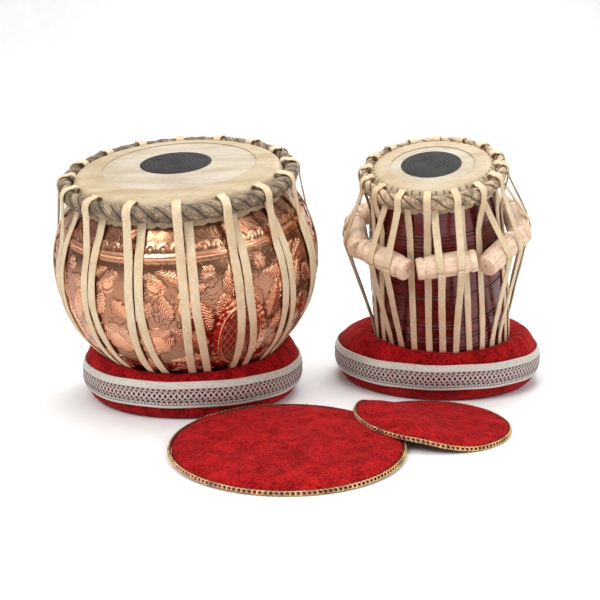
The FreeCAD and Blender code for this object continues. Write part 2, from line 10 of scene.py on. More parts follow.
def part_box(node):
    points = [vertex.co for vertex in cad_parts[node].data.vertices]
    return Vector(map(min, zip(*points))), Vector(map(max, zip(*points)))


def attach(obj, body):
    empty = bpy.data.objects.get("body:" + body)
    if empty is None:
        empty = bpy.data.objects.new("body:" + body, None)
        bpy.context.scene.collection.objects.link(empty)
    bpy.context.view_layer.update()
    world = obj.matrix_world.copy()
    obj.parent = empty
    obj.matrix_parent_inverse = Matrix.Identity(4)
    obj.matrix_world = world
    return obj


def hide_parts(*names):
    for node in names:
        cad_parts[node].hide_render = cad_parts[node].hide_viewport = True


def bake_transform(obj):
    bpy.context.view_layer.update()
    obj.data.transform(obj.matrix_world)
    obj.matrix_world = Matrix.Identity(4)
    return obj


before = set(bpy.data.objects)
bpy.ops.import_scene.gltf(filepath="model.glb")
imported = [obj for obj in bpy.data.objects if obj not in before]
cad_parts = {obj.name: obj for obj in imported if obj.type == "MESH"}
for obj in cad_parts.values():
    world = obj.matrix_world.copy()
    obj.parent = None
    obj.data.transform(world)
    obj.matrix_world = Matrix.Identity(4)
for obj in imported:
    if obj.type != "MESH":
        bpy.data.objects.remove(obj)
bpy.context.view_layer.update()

bl_info = {
    "name": "Tabla Set",
    "version": (1, 0, 0),
    "blender": (4, 5, 0),
    "location": "3D View > Sidebar > Tabla",
    "description": "Builds a pair of tabla drums with their ring cushions and covers",
    "category": "Add Mesh",
}

FULL_TURN = 2 * math.pi
MM = 0.001

# Heights and radii of the two shells, in metres from the middle of each base.
BAYAN = {
    "rim": 0.257, "neck_radius": 0.118, "neck": 0.236, "waist": 0.064, "belly_curve": 0.1286,
    "lower_curve": 0.300, "foot_radius": 0.060, "foot": 0.005, "base_radius": 0.052,
    "rim_radius": 0.115, "rim_wall": 0.008, "wall": 0.0016, "skirt_radius": 0.1184,
    "skirt": 0.236, "hoop_radius": 0.1268, "hoop_half": 0.008, "hoop_height": 0.250,
    "hoop_straight": 0.002, "ring_radius": 0.047, "field_radius": 0.087, "field_back": 0.012,
    "spot_radius": 0.041, "spot_side": -0.005, "spot_back": 0.022,
}
DAYAN = {
    "rim": 0.259, "rim_radius": 0.0684, "mouth_radius": 0.054, "side_curve": 1.350,
    "foot_radius": 0.080, "foot": 0.008, "base_radius": 0.072, "skirt_radius": 0.0706,
    "skirt": 0.239, "hoop_radius": 0.0777, "hoop_half": 0.0058, "hoop_height": 0.252,
    "hoop_straight": 0.0046, "ring_radius": 0.057, "field_radius": 0.0475,
    "field_back": 0.002, "spot_radius": 0.0345, "spot_side": -0.001, "spot_back": 0.003,
    "block_orbit": 0.0936, "block_height": 0.180, "block_radius": 0.0135,
    "block_half": 0.033, "block_slope": 0.077,
}
DRUMS = {"bayan": BAYAN, "dayan": DAYAN}
RIM_ROUND = 0.006
SKIN = 0.001
LINING = 0.0008
RING_TUBE = 0.0028
STRAP_GAP = 0.0004
BLOCK_GAP = 0.0007
HEAD_TOP = LINING + 2 * SKIN

LOOPS = 16
BLOCKS = 8
BAYAN_FIRST_LOOP = 4.4
DAYAN_FIRST_BLOCK = 0.3
BAYAN_RUNS = {"over_hoop": (0, -0.1, -1), "under_hoop": (4.8, 4.1, 9.5)}
OVER_RUNS = {"over_hoop": (11, 7.5, 3.5), "under_hoop": (-7, -4, -6.5)}
BEHIND_RUNS = {"over_hoop": (-11.5, -14, -17.5), "under_hoop": (15.5, 17, 16)}
BLOCK_TILTS = (3, 7.5, 7, 4, -3, 5, -4, -7)
BLOCK_LIFTS = (0.0035, -0.0025, -0.003, -0.002, 0.001, -0.001, 0.002, 0.003)

CUSHIONS = {
    "bayan_cushion": {"radius": 0.1275, "hole": 0.060, "height": 0.060},
    "dayan_cushion": {"radius": 0.1245, "hole": 0.060, "height": 0.060},
}
CUSHION_FOOT = 0.016
CUSHION_SHOULDER = 0.020
BAND_FOOT = 0.016
BAND_TOP = 0.046
BAND_CURVE = 0.042
BAND_THICKNESS = 0.0015
COVERS = {"bayan_cover": 0.118, "dayan_cover": 0.082}
COVER_LEANS = {"bayan_cover": (2.0, 0.0), "dayan_cover": (1.2, 2.6)}
COVER_THICKNESS = 0.0065
LACE_HEIGHT = 0.0055


class TablaShape(bpy.types.PropertyGroup):
    """Sizes and counts of the parts that are made here."""

    relief_depth: FloatProperty(
        name="Relief depth", description="How far the chased pattern stands out of the copper",
        default=0.0013, unit="LENGTH")
    bayan_strap_width: FloatProperty(
        name="Bayan strap width", description="Width of the straps down the copper drum",
        default=0.0098, unit="LENGTH")
    dayan_strap_width: FloatProperty(
        name="Dayan strap width", description="Width of the straps down the wooden drum",
        default=0.0082, unit="LENGTH")
    strap_thickness: FloatProperty(
        name="Strap thickness", description="Thickness of the rawhide straps",
        default=0.0019, unit="LENGTH")
    hoop_strands: IntProperty(
        name="Hoop strands", description="Strands twisted together in each hoop", default=3)
    hoop_pitch: FloatProperty(
        name="Hoop pitch", description="Length of hoop in which a strand goes once round",
        default=0.050, unit="LENGTH")
    lace_pitch: FloatProperty(
        name="Lace pitch", description="Spacing of the links of the gold lace",
        default=0.0050, unit="LENGTH")
    velvet_swell: FloatProperty(
        name="Velvet swell", description="Most that the velvet swells beyond its cut shape",
        default=0.0035, unit="LENGTH")


def colour(name, words, value):
    return FloatVectorProperty(
        name=name, description=words, default=value, size=3, min=0, max=1, subtype="COLOR")


class TablaColours(bpy.types.PropertyGroup):
    """Colours of the finishes, as they are on their lightest clean surface."""

    copper: colour("Copper", "Polished copper of the bass drum", (0.80, 0.37, 0.205))
    skin: colour("Edge skin", "Outer ring skin of the heads", (0.48, 0.385, 0.255))
    playing_skin: colour("Playing skin", "Main skin of the heads", (0.49, 0.43, 0.34))
    paste: colour("Black spot", "Hardened paste on the heads", (0.022, 0.021, 0.020))
    hoop: colour("Hoop", "Twisted hide of the hoops", (0.27, 0.19, 0.115))
    strap: colour("Strap", "Rawhide straps", (0.73, 0.59, 0.39))
    lacquer: colour("Lacquer", "Dark red lacquer of the wooden shell", (0.105, 0.007, 0.006))
    block: colour("Block wood", "Pale wood of the tuning blocks", (0.80, 0.59, 0.42))
    velvet: colour("Velvet", "Crimson velvet", (0.27, 0.005, 0.006))
    silver: colour("Silver braid", "Bright thread of the cushion bands", (0.80, 0.77, 0.70))
    ground: colour("Band ground", "Dark red ground of the cushion bands", (0.13, 0.012, 0.014))
    gold: colour("Gold lace", "Gold thread round the covers", (0.80, 0.56, 0.20))
    stone: colour("Stones", "Small stones in the gold lace", (0.42, 0.04, 0.32))


def shape():
    return bpy.context.scene.tabla_shape


def colours():
    return bpy.context.scene.tabla_colours


# ---------------------------------------------------------------- places and outlines

def middle_of(node):
    low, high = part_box(node)
    return (low + high) / 2


def drum_place(drum):
    """The matrix from a drum's own frame, the middle of its base and its axis, to the room."""
    ring = middle_of(f"{drum}_bottom_ring")
    axis = (middle_of(f"{drum}_hoop_braid") - ring).normalized()
    base = ring + axis * (RING_TUBE + 0.1 * MM)
    turn = Vector((0, 0, 1)).rotation_difference(axis).to_matrix().to_4x4()
    return Matrix.Translation(base) @ turn


def cushion_place(cushion):
    """The matrix from a ring cushion's own frame to the room; it stands on the floor."""
    centre = middle_of(f"{cushion}_band")
    return Matrix.Translation((centre.x, centre.y, 0))


def cover_place(cover):
    """The matrix from a cover's own frame, the middle of its underside, to the room."""
    rise, lean = COVER_LEANS[cover]
    turn = Matrix.Rotation(math.radians(rise), 4, "X") @ Matrix.Rotation(math.radians(lean), 4, "Y")
    up = turn @ Vector((0, 0, LACE_HEIGHT / 2))
    return Matrix.Translation(middle_of(f"{cover}_lace") - up) @ turn


def radius_on_arc(start, end, curve, height):
    """The radius, at a height, of an outward arc between two points of an outline."""
    chord = Vector(end) - Vector(start)
    half = chord.length / 2
    inward = Vector((-chord.y, chord.x)).normalized()
    centre = (Vector(start) + Vector(end)) / 2 + inward * math.sqrt(curve**2 - half**2)
    return centre.x + math.sqrt(max(0, curve**2 - (height - centre.y) ** 2))


def bayan_radius(height):
    """The outside radius of the copper shell at a height."""
    waist = (BAYAN["neck_radius"], BAYAN["waist"])
    neck = (BAYAN["neck_radius"], BAYAN["neck"])
    foot = (BAYAN["foot_radius"], BAYAN["foot"])
    if height > BAYAN["waist"]:
        return radius_on_arc(waist, neck, BAYAN["belly_curve"], height)
    return radius_on_arc(foot, waist, BAYAN["lower_curve"], height)


def dayan_radius(height):
    """The outside radius of the wooden shell at a height."""
    foot = (DAYAN["foot_radius"], DAYAN["foot"])
    rim = (DAYAN["rim_radius"], DAYAN["rim"] - RIM_ROUND)
    return radius_on_arc(foot, rim, DAYAN["side_curve"], height)


def spread(start, end, count):
    """Evenly spaced values from start to end."""
    return [start + (end - start) * step / (count - 1) for step in range(count)]


def arc(centre, radius, start, end, count):
    """Points on an arc, its angles in degrees from the outward direction."""
    points = []
    for angle in spread(math.radians(start), math.radians(end), count):
        points.append((centre[0] + radius * math.cos(angle), centre[1] + radius * math.sin(angle)))
    return points


def oval(centre, half_width, half_height, power, count):
    """A closed outline between an ellipse and a rectangle."""
    points = []
    for step in range(count):
        angle = FULL_TURN * step / count
        across = math.copysign(abs(math.cos(angle)) ** (2 / power), math.cos(angle))
        up = math.copysign(abs(math.sin(angle)) ** (2 / power), math.sin(angle))
        points.append((centre[0] + half_width * across, centre[1] + half_height * up))
    return points


# ---------------------------------------------------------------- mesh helpers

def finished_mesh(name, bm):
    """Closes doubles, turns faces outward and hands over the bmesh as a smooth mesh."""
    bmesh.ops.remove_doubles(bm, verts=bm.verts, dist=1e-6)
    bmesh.ops.dissolve_degenerate(bm, edges=bm.edges, dist=1e-7)
    bmesh.ops.recalc_face_normals(bm, faces=bm.faces)
    for face in bm.faces:
        face.smooth = True
    mesh = bpy.data.meshes.new(name)
    bm.to_mesh(mesh)
    bm.free()
    return mesh


def read_points(mesh):
    points = np.empty(len(mesh.vertices) * 3)
    mesh.vertices.foreach_get("co", points)
    return points.reshape(-1, 3)


def write_points(mesh, points):
    mesh.vertices.foreach_set("co", np.ascontiguousarray(points, dtype=float).ravel())
    mesh.update()


def keep_values(mesh, name, values):
    """Stores one number per point, for a material to read."""
    values = np.asarray(values, dtype=float)
    if values.ndim == 1:
        layer = mesh.attributes.new(name, "FLOAT", "POINT")
        layer.data.foreach_set("value", values)
    else:
        layer = mesh.attributes.new(name, "FLOAT_VECTOR", "POINT")
        layer.data.foreach_set("vector", values.ravel())


def add_piece(name, mesh, material, body, replaced=(), place=None):
    """Puts a finished mesh in the scene, riding on a body, in place of CAD nodes."""
    if place is not None:
        mesh.transform(place)
    piece = bpy.data.objects.new(name, mesh)
    bpy.context.scene.collection.objects.link(piece)
    mesh.materials.append(material)
    if body:
        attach(piece, body)
    if replaced:
        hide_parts(*replaced)
    return piece


def smooth_sharply(mesh, degrees):
    """Keeps creases sharper than an angle."""
    mesh.set_sharp_from_angle(angle=math.radians(degrees))


def smoothed_steps(value, low, high):
    share = np.clip((value - low) / (high - low), 0, 1)
    return share * share * (3 - 2 * share)


# ---------------------------------------------------------------- shader graph helper

class Graph:
    """A short way to place and join the nodes of one shader tree."""

    def __init__(self, tree):
        self.tree = tree

    def node(self, kind, inputs=None, **settings):
        node = self.tree.nodes.new(kind)
        for key, value in settings.items():
            setattr(node, key, value)
        for key, value in (inputs or {}).items():
            self.feed(node.inputs[key], value)
        return node

    def feed(self, socket, value):
        if isinstance(value, bpy.types.NodeSocket):
            self.tree.links.new(value, socket)
        else:
            socket.default_value = value

    def math(self, operation, first, second=0.0, third=0.0):
        node = self.node("ShaderNodeMath", operation=operation)
        for socket, value in zip(node.inputs, (first, second, third)):
            self.feed(socket, value)
        return node.outputs[0]

    def ranged(self, value, low, high, out_low=0.0, out_high=1.0):
        node = self.node("ShaderNodeMapRange", interpolation_type="SMOOTHSTEP")
        for key, given in (("Value", value), ("From Min", low), ("From Max", high),
                           ("To Min", out_low), ("To Max", out_high)):
            self.feed(node.inputs[key], given)
        return node.outputs[0]

    def mixed(self, share, first, second, blend="MIX"):
        node = self.node("ShaderNodeMix", data_type="RGBA", blend_type=blend)
        self.feed(node.inputs[0], share)
        self.feed(node.inputs[6], first)
        self.feed(node.inputs[7], second)
        return node.outputs[2]

    def noise(self, vector, scale, detail=3.0, rough=0.5):
        node = self.node("ShaderNodeTexNoise", {"Scale": scale, "Detail": detail,
                                                "Roughness": rough})
        self.feed(node.inputs["Vector"], vector)
        return node.outputs["Fac"]

    def stretched(self, vector, scale, place=(0, 0, 0)):
        node = self.node("ShaderNodeMapping", {"Scale": scale, "Location": place})
        self.feed(node.inputs["Vector"], vector)
        return node.outputs[0]

    def place(self):
        return self.node("ShaderNodeTexCoord").outputs["Object"]

    def attribute(self, name, output="Fac"):
        return self.node("ShaderNodeAttribute", attribute_name=name).outputs[output]

    def split(self, vector):
        node = self.node("ShaderNodeSeparateXYZ")
        self.feed(node.inputs[0], vector)
        return node.outputs

    def bump(self, height, strength, distance, normal=None):
        node = self.node("ShaderNodeBump", {"Strength": strength, "Distance": distance})
        self.feed(node.inputs["Height"], height)
        if normal is not None:
            self.feed(node.inputs["Normal"], normal)
        return node.outputs[0]


def dyed(value, lightness=1.0):
    """A colour with its alpha, made lighter or darker."""
    return (value[0] * lightness, value[1] * lightness, value[2] * lightness, 1.0)


def new_group(name, inputs, outputs):
    """An empty shader node group with its sockets."""
    tree = bpy.data.node_groups.new(name, "ShaderNodeTree")
    for label, kind in inputs:
        tree.interface.new_socket(name=label, in_out="INPUT", socket_type=kind)
    for label, kind in outputs:
        tree.interface.new_socket(name=label, in_out="OUTPUT", socket_type=kind)
    graph = Graph(tree)
    return graph, graph.node("NodeGroupInput").outputs, graph.node("NodeGroupOutput").inputs


VECTOR = "NodeSocketVector"
NUMBER = "NodeSocketFloat"
COLOUR = "NodeSocketColor"


def mottle_group():
    """Uneven colour in large soft patches with a finer fleck, as on skin, hide and wood."""
    name = "Mottle"
    if name in bpy.data.node_groups:
        return bpy.data.node_groups[name]
    graph, given, put = new_group(
        name,
        (("Vector", VECTOR), ("Patch Scale", NUMBER), ("Fleck Scale", NUMBER),
         ("Dark", COLOUR), ("Light", COLOUR)),
        (("Colour", COLOUR), ("Height", NUMBER)))
    patches = graph.noise(given["Vector"], given["Patch Scale"], 3.0, 0.55)
    flecks = graph.noise(given["Vector"], given["Fleck Scale"], 4.0, 0.6)
    both = graph.math("ADD", graph.math("MULTIPLY", patches, 0.65),
                      graph.math("MULTIPLY", flecks, 0.35))
    share = graph.ranged(both, 0.36, 0.62)
    graph.feed(put["Colour"], graph.mixed(share, given["Dark"], given["Light"]))
    graph.feed(put["Height"], flecks)
    return graph.tree


def grain_group():
    """Long fibres along one direction, as in wood and rawhide."""
    name = "Long Grain"
    if name in bpy.data.node_groups:
        return bpy.data.node_groups[name]
    graph, given, put = new_group(
        name,
        (("Vector", VECTOR), ("Scale", NUMBER), ("Stretch", NUMBER)),
        (("Mask", NUMBER), ("Height", NUMBER)))
    along, across, through = graph.split(given["Vector"])
    drawn_out = graph.node("ShaderNodeCombineXYZ")
    graph.feed(drawn_out.inputs[0], graph.math("DIVIDE", along, given["Stretch"]))
    graph.feed(drawn_out.inputs[1], across)
    graph.feed(drawn_out.inputs[2], through)
    fibres = graph.noise(drawn_out.outputs[0], given["Scale"], 4.0, 0.65)
    graph.feed(put["Mask"], graph.ranged(fibres, 0.38, 0.64))
    graph.feed(put["Height"], fibres)
    return graph.tree


def pile_group():
    """The clumps, crushed patches and fine tips of a velvet pile."""
    name = "Velvet Pile"
    if name in bpy.data.node_groups:
        return bpy.data.node_groups[name]
    graph, given, put = new_group(
        name,
        (("Vector", VECTOR), ("Dark", COLOUR), ("Light", COLOUR)),
        (("Colour", COLOUR), ("Height", NUMBER), ("Crushed", NUMBER)))
    crushed = graph.noise(given["Vector"], 60.0, 3.0, 0.6)
    clumps = graph.noise(given["Vector"], 420.0, 3.0, 0.6)
    tips = graph.noise(given["Vector"], 1500.0, 2.0, 0.5)
    coarse = graph.math("ADD", graph.math("MULTIPLY", crushed, 0.35),
                        graph.math("MULTIPLY", clumps, 0.65))
    share = graph.ranged(coarse, 0.36, 0.64)
    graph.feed(put["Colour"], graph.mixed(share, given["Dark"], given["Light"]))
    height = graph.math("ADD", graph.math("MULTIPLY", clumps, 0.7),
                        graph.math("MULTIPLY", tips, 0.3))
    graph.feed(put["Height"], height)
    graph.feed(put["Crushed"], crushed)
    return graph.tree


def new_material(name):
    """A material with a fresh Principled shader, and the graph to build it with."""
    material = bpy.data.materials.new(name)
    material.use_nodes = True
    material.node_tree.nodes.clear()
    graph = Graph(material.node_tree)
    shader = graph.node("ShaderNodeBsdfPrincipled")
    out = graph.node("ShaderNodeOutputMaterial")
    graph.feed(out.inputs["Surface"], shader.outputs[0])
    return material, graph, shader.inputs


def grouped(graph, tree, inputs):
    """Places a node group with its own values."""
    return graph.node("ShaderNodeGroup", inputs, node_tree=tree).outputs


def in_drum_frame(graph, drum):
    """Object coordinates turned into a drum's own frame, in metres."""
    place = drum_place(drum)
    node = graph.node("ShaderNodeMapping", {
        "Location": place.to_translation(),
        "Rotation": place.to_euler(),
    }, vector_type="TEXTURE")
    graph.feed(node.inputs["Vector"], graph.place())
    return node.outputs[0]


def around_axis(graph, vector, side=0.0, back=0.0):
    """The angle, radius and height of a point about an axis beside the drum's own."""
    across, away, up = graph.split(vector)
    across = graph.math("SUBTRACT", across, side)
    away = graph.math("SUBTRACT", away, back)
    angle = graph.math("ARCTAN2", across, graph.math("MULTIPLY", away, -1.0))
    squares = graph.math("ADD", graph.math("POWER", across, 2.0), graph.math("POWER", away, 2.0))
    return angle, graph.math("SQRT", squares), up


def lay_pattern(mesh, turn, outline):
    """A UV map of two shares, each closing on itself, kept whole across both seams."""
    corner_of = np.empty(len(mesh.loops), dtype=int)
    mesh.loops.foreach_get("vertex_index", corner_of)
    starts = np.empty(len(mesh.polygons), dtype=int)
    mesh.polygons.foreach_get("loop_start", starts)
    counts = np.empty(len(mesh.polygons), dtype=int)
    mesh.polygons.foreach_get("loop_total", counts)
    columns = []
    for share in (turn, outline):
        values = np.asarray(share)[corner_of]
        highest = np.repeat(np.maximum.reduceat(values, starts), counts)
        columns.append(np.where(highest - values > 0.5, values + 1, values))
    layer = mesh.uv_layers.new(name="Pattern")
    layer.data.foreach_set("uv", np.column_stack(columns).ravel())


def spun(name, outline, steps, closed=True):
    """A turned mesh with its pattern map, and each point's share of turn and outline."""
    bm = bmesh.new()
    share = bm.verts.layers.float.new("outline")
    corners = []
    for index, (radius, height) in enumerate(outline):
        corner = bm.verts.new((0, -radius, height))
        corner[share] = index / len(outline)
        corners.append(corner)
    pairs = list(zip(corners, corners[1:]))
    if closed:
        pairs.append((corners[-1], corners[0]))
    edges = [bm.edges.new(pair) for pair in pairs]
    bmesh.ops.spin(
        bm, geom=corners + edges, cent=(0, 0, 0), axis=(0, 0, 1), dvec=(0, 0, 0),
        angle=FULL_TURN, steps=steps, use_merge=True)
    mesh = finished_mesh(name, bm)
    shares = np.empty(len(mesh.vertices))
    mesh.attributes["outline"].data.foreach_get("value", shares)
    angles = turn_of(read_points(mesh))
    lay_pattern(mesh, angles / FULL_TURN, shares)
    return mesh, angles, shares


def turn_of(points):
    """Each point's angle round the Z axis, from the front and to the right."""
    return np.mod(np.arctan2(points[:, 0], -points[:, 1]), FULL_TURN)


def ridge(distance, width):
    return np.exp(-(distance / width) ** 2)


# ---------------------------------------------------------------- materials

def copper_finish():
    """Polished copper with chased strokes, a fine lattice, dark patina in the hollows and a painted dark
    reflection in the medallion's field.
    """
    material, graph, shader = new_material("chased_copper")
    place = in_drum_frame(graph, "bayan")
    relief, phase, stroke = graph.split(graph.attribute("chasing", "Vector"))
    side, up, inside = graph.split(graph.attribute("lattice", "Vector"))
    strokes = graph.math("MULTIPLY", stroke, graph.math(
        "ABSOLUTE", graph.math("SINE", graph.math("MULTIPLY", phase, math.pi))))
    lines = None
    for sign in (1.0, -1.0):
        slant = graph.math("ADD", graph.math("MULTIPLY", side, sign / 0.0076),
                           graph.math("DIVIDE", up, 0.0118))
        wave = graph.math("ABSOLUTE", graph.math("SINE", graph.math("MULTIPLY", slant, math.pi)))
        line = graph.ranged(wave, 0.36, 0.14)
        lines = line if lines is None else graph.math("MAXIMUM", lines, line)
    lattice = graph.math("MULTIPLY", lines, inside)
    curls = graph.math("ABSOLUTE", graph.math("SINE", graph.math(
        "MULTIPLY", graph.noise(place, 52.0, 1.5, 0.5), math.pi * 9)))
    ground = graph.math("MULTIPLY", graph.ranged(relief, 0.34, 0.12),
                        graph.math("SUBTRACT", 1.0, inside))
    patches = graph.ranged(graph.noise(place, 34.0, 1.0, 0.5), 0.42, 0.52)
    engraved = graph.math("MULTIPLY", graph.ranged(curls, 0.34, 0.08),
                          graph.math("MULTIPLY", ground, patches))
    oval_size = graph.math("SQRT", graph.math(
        "ADD", graph.math("POWER", graph.math("DIVIDE", side, MEDALLION[0]), 2.0),
        graph.math("POWER", graph.math("DIVIDE", up, MEDALLION[1]), 2.0)))
    frame_line = graph.ranged(graph.math(
        "ABSOLUTE", graph.math("SUBTRACT", oval_size, 1.0)), 0.085, 0.035)
    inner_line = graph.ranged(graph.math(
        "ABSOLUTE", graph.math("SUBTRACT", oval_size, 0.87)), 0.030, 0.010)
    hammered = graph.noise(place, 260.0, 3.0, 0.6)
    broad = graph.noise(place, 26.0, 3.0, 0.6)
    high = graph.math("ADD", graph.math("MULTIPLY", strokes, 0.50),
                      graph.math("MULTIPLY", lattice, 0.8))
    high = graph.math("ADD", high, graph.math("MULTIPLY", hammered, 0.16))
    high = graph.math("ADD", high, graph.math("MULTIPLY", frame_line, 0.9))
    high = graph.math("SUBTRACT", high, graph.math("MULTIPLY", engraved, 0.55))
    tone = colours().copper
    pink = dyed((tone[0] * 0.98, tone[1] * 1.12, tone[2] * 1.30))
    warm = graph.mixed(graph.ranged(broad, 0.40, 0.75), dyed(tone), pink)
    hollow = graph.math("MULTIPLY", graph.ranged(relief, 0.30, 0.10), 0.60)
    sunk = graph.math("MAXIMUM", hollow, graph.math("MULTIPLY", engraved, 0.85))
    veins = graph.math("MULTIPLY", graph.ranged(strokes, 0.35, 0.05), stroke)
    sunk = graph.math("MAXIMUM", sunk, graph.math("MULTIPLY", veins, 0.7))
    sunk = graph.math("MAXIMUM", sunk, graph.math("MULTIPLY", inner_line, 0.8))
    sunk = graph.math("MULTIPLY", sunk, graph.math("SUBTRACT", 1.0, frame_line))
    patina = graph.mixed(sunk, warm, dyed(tone, 0.14))
    # Painted reflection and shade: the medallion's field between its lattice lines is darkened towards a dark
    # red-brown.
    between = graph.math("MULTIPLY", graph.math("SUBTRACT", 1.0, lines), inside)
    painted_field_reflection = graph.mixed(graph.math("MULTIPLY", between, 0.75), patina,
                           (0.26, 0.10, 0.06, 1.0))
    graph.feed(shader["Base Color"], painted_field_reflection)
    shader["Metallic"].default_value = 1.0
    worn = graph.noise(place, 70.0, 4.0, 0.65)
    graph.feed(shader["Roughness"], graph.math(
        "ADD", graph.ranged(worn, 0.30, 0.72, 0.14, 0.30), graph.math("MULTIPLY", inside, 0.15)))
    graph.feed(shader["Normal"], graph.bump(high, 0.9, 0.0013))
    return material


def skin_finish(name, tone):
    """Stretched skin: soft clouds, faint fibres, small specks and a dull shine."""
    material, graph, shader = new_material(name)
    light = dyed(tone, 1.04)
    dark = dyed((tone[0] * 0.80, tone[1] * 0.73, tone[2] * 0.62))
    drawn = graph.stretched(graph.place(), (1.0, 3.2, 1.0))
    mottle = grouped(graph, mottle_group(), {
        "Vector": drawn, "Patch Scale": 16.0, "Fleck Scale": 150.0,
        "Dark": dark, "Light": light})
    specks = graph.ranged(graph.noise(graph.place(), 620.0, 2.0, 0.5), 0.70, 0.78)
    flecked = graph.mixed(graph.math("MULTIPLY", specks, 0.4), mottle["Colour"],
                          dyed(tone, 0.4))
    stitches = graph.ranged(graph.attribute("stitch"), 0.25, 0.60)
    graph.feed(shader["Base Color"], graph.mixed(
        graph.math("MULTIPLY", stitches, 0.92), flecked, (0.03, 0.02, 0.012, 1.0)))
    pores = graph.noise(graph.place(), 900.0, 3.0, 0.6)
    graph.feed(shader["Roughness"], graph.ranged(pores, 0.3, 0.7, 0.42, 0.60))
    shader["Specular IOR Level"].default_value = 0.3
    shader["Subsurface Weight"].default_value = 0.12
    shader["Subsurface Radius"].default_value = (0.004, 0.0025, 0.0015)
    graph.feed(shader["Normal"], graph.bump(pores, 0.35, 0.00025))
    return material


def paste_finish(drum):
    """Hardened black paste in fine rings, cracked into tiny grains, greyer where rubbed."""
    material, graph, shader = new_material(f"{drum}_black_paste")
    sizes = DRUMS[drum]
    place = in_drum_frame(graph, drum)
    _, radius, _ = around_axis(graph, place, sizes["spot_side"], sizes["spot_back"])
    wobble = graph.math("MULTIPLY", graph.noise(place, 45.0), 0.0016)
    rings = graph.math("SINE", graph.math(
        "MULTIPLY", graph.math("ADD", radius, wobble), FULL_TURN / 0.0050))
    line = graph.ranged(rings, 0.55, 0.92)
    grains = graph.node("ShaderNodeTexVoronoi", {"Scale": 900.0}, feature="DISTANCE_TO_EDGE")
    graph.feed(grains.inputs["Vector"], place)
    cracks = graph.ranged(grains.outputs["Distance"], 0.0, 0.16)
    tone = colours().paste
    cloudy = graph.mixed(graph.ranged(graph.noise(place, 55.0, 4.0, 0.6), 0.35, 0.68),
                         dyed(tone, 0.6), dyed(tone, 1.5))
    ringed = graph.mixed(graph.math("MULTIPLY", line, 0.9), cloudy, dyed(tone, 0.12))
    graph.feed(shader["Base Color"], ringed)
    graph.feed(shader["Roughness"], graph.ranged(cracks, 0.0, 1.0, 0.80, 0.62))
    shader["Specular IOR Level"].default_value = 0.25
    relief = graph.math("ADD", graph.math("MULTIPLY", line, -0.8),
                        graph.math("MULTIPLY", cracks, 0.3))
    graph.feed(shader["Normal"], graph.bump(relief, 0.7, 0.0003))
    return material


def hoop_finish(name, lightness):
    """Twisted hide: fibres along each strand, painted shade in the creases, pale cords between."""
    material, graph, shader = new_material(name)
    bulge, strand, along = graph.split(graph.attribute("twist", "Vector"))
    fibres_at = graph.node("ShaderNodeCombineXYZ")
    graph.feed(fibres_at.inputs[0], graph.math("MULTIPLY", strand, 7.0))
    graph.feed(fibres_at.inputs[1], graph.math("MULTIPLY", along, 0.35))
    fibres = graph.noise(fibres_at.outputs[0], 3.0, 4.0, 0.65)
    blotch = graph.noise(graph.place(), 75.0, 3.0, 0.6)
    tone = colours().hoop
    both = graph.math("ADD", graph.math("MULTIPLY", fibres, 0.6),
                      graph.math("MULTIPLY", blotch, 0.4))
    body = graph.mixed(graph.ranged(both, 0.40, 0.60), dyed(tone, 0.34 * lightness),
                       dyed(tone, 1.60 * lightness))
    # Painted shade: the creases between the strands are darkened nearly to black.
    painted_crease_shade = graph.ranged(bulge, 0.55, 0.08)
    shaded = graph.mixed(graph.math("MULTIPLY", painted_crease_shade, 0.85), body, dyed(tone, 0.12))
    thread = graph.math("ABSOLUTE", graph.math("SUBTRACT", graph.math("FRACT", strand), 0.5))
    cord = graph.math("MULTIPLY", graph.ranged(thread, 0.05, 0.02),
                      graph.ranged(blotch, 0.46, 0.56))
    corded = graph.mixed(graph.math("MULTIPLY", cord, 0.8), shaded, (0.66, 0.56, 0.36, 1.0))
    graph.feed(shader["Base Color"], corded)
    shader["Roughness"].default_value = 0.72
    height = graph.math("ADD", fibres, graph.math("MULTIPLY", cord, 0.8))
    graph.feed(shader["Normal"], graph.bump(height, 0.8, 0.0008))
    return material


def strap_finish(name, low, high):
    """Rawhide: long grain along the strap, a napped face, darker worn and handled places, and painted red bounce
    light and shade low down beside the cushions.
    """
    material, graph, shader = new_material(name)
    tone = colours().strap
    along, across, _ = graph.split(graph.attribute("lie", "Vector"))
    laid = graph.node("ShaderNodeCombineXYZ")
    graph.feed(laid.inputs[0], along)
    graph.feed(laid.inputs[1], across)
    grain = grouped(graph, grain_group(), {
        "Vector": laid.outputs[0], "Scale": 900.0, "Stretch": 9.0})
    nap = graph.noise(graph.place(), 850.0, 3.0, 0.7)
    patches = graph.noise(graph.place(), 34.0, 4.0, 0.6)
    body = graph.mixed(grain["Mask"], dyed(tone, 0.86), dyed(tone, 1.08))
    toned = graph.mixed(graph.math("MULTIPLY", graph.ranged(patches, 0.42, 0.70), 0.55), body,
                        dyed((tone[0] * 0.78, tone[1] * 0.66, tone[2] * 0.50)))
    napped = graph.mixed(graph.math("MULTIPLY", graph.ranged(nap, 0.54, 0.66), 0.65), toned,
                         dyed((tone[0] * 0.66, tone[1] * 0.50, tone[2] * 0.34)))
    _, _, up = graph.split(graph.place())
    # Painted red bounce light and shade: below the height high the strap turns darker and redder, most at the
    # height low, beside the red velvet.
    painted_red_bounce = graph.math("MULTIPLY", graph.ranged(up, high, low), 0.40)
    graph.feed(shader["Base Color"], graph.mixed(
        painted_red_bounce, napped, dyed((tone[0] * 0.96, tone[1] * 0.72, tone[2] * 0.66))))
    shader["Roughness"].default_value = 0.74
    height = graph.math("ADD", graph.math("MULTIPLY", nap, 0.6), grain["Height"])
    graph.feed(shader["Normal"], graph.bump(height, 0.55, 0.0005))
    return material


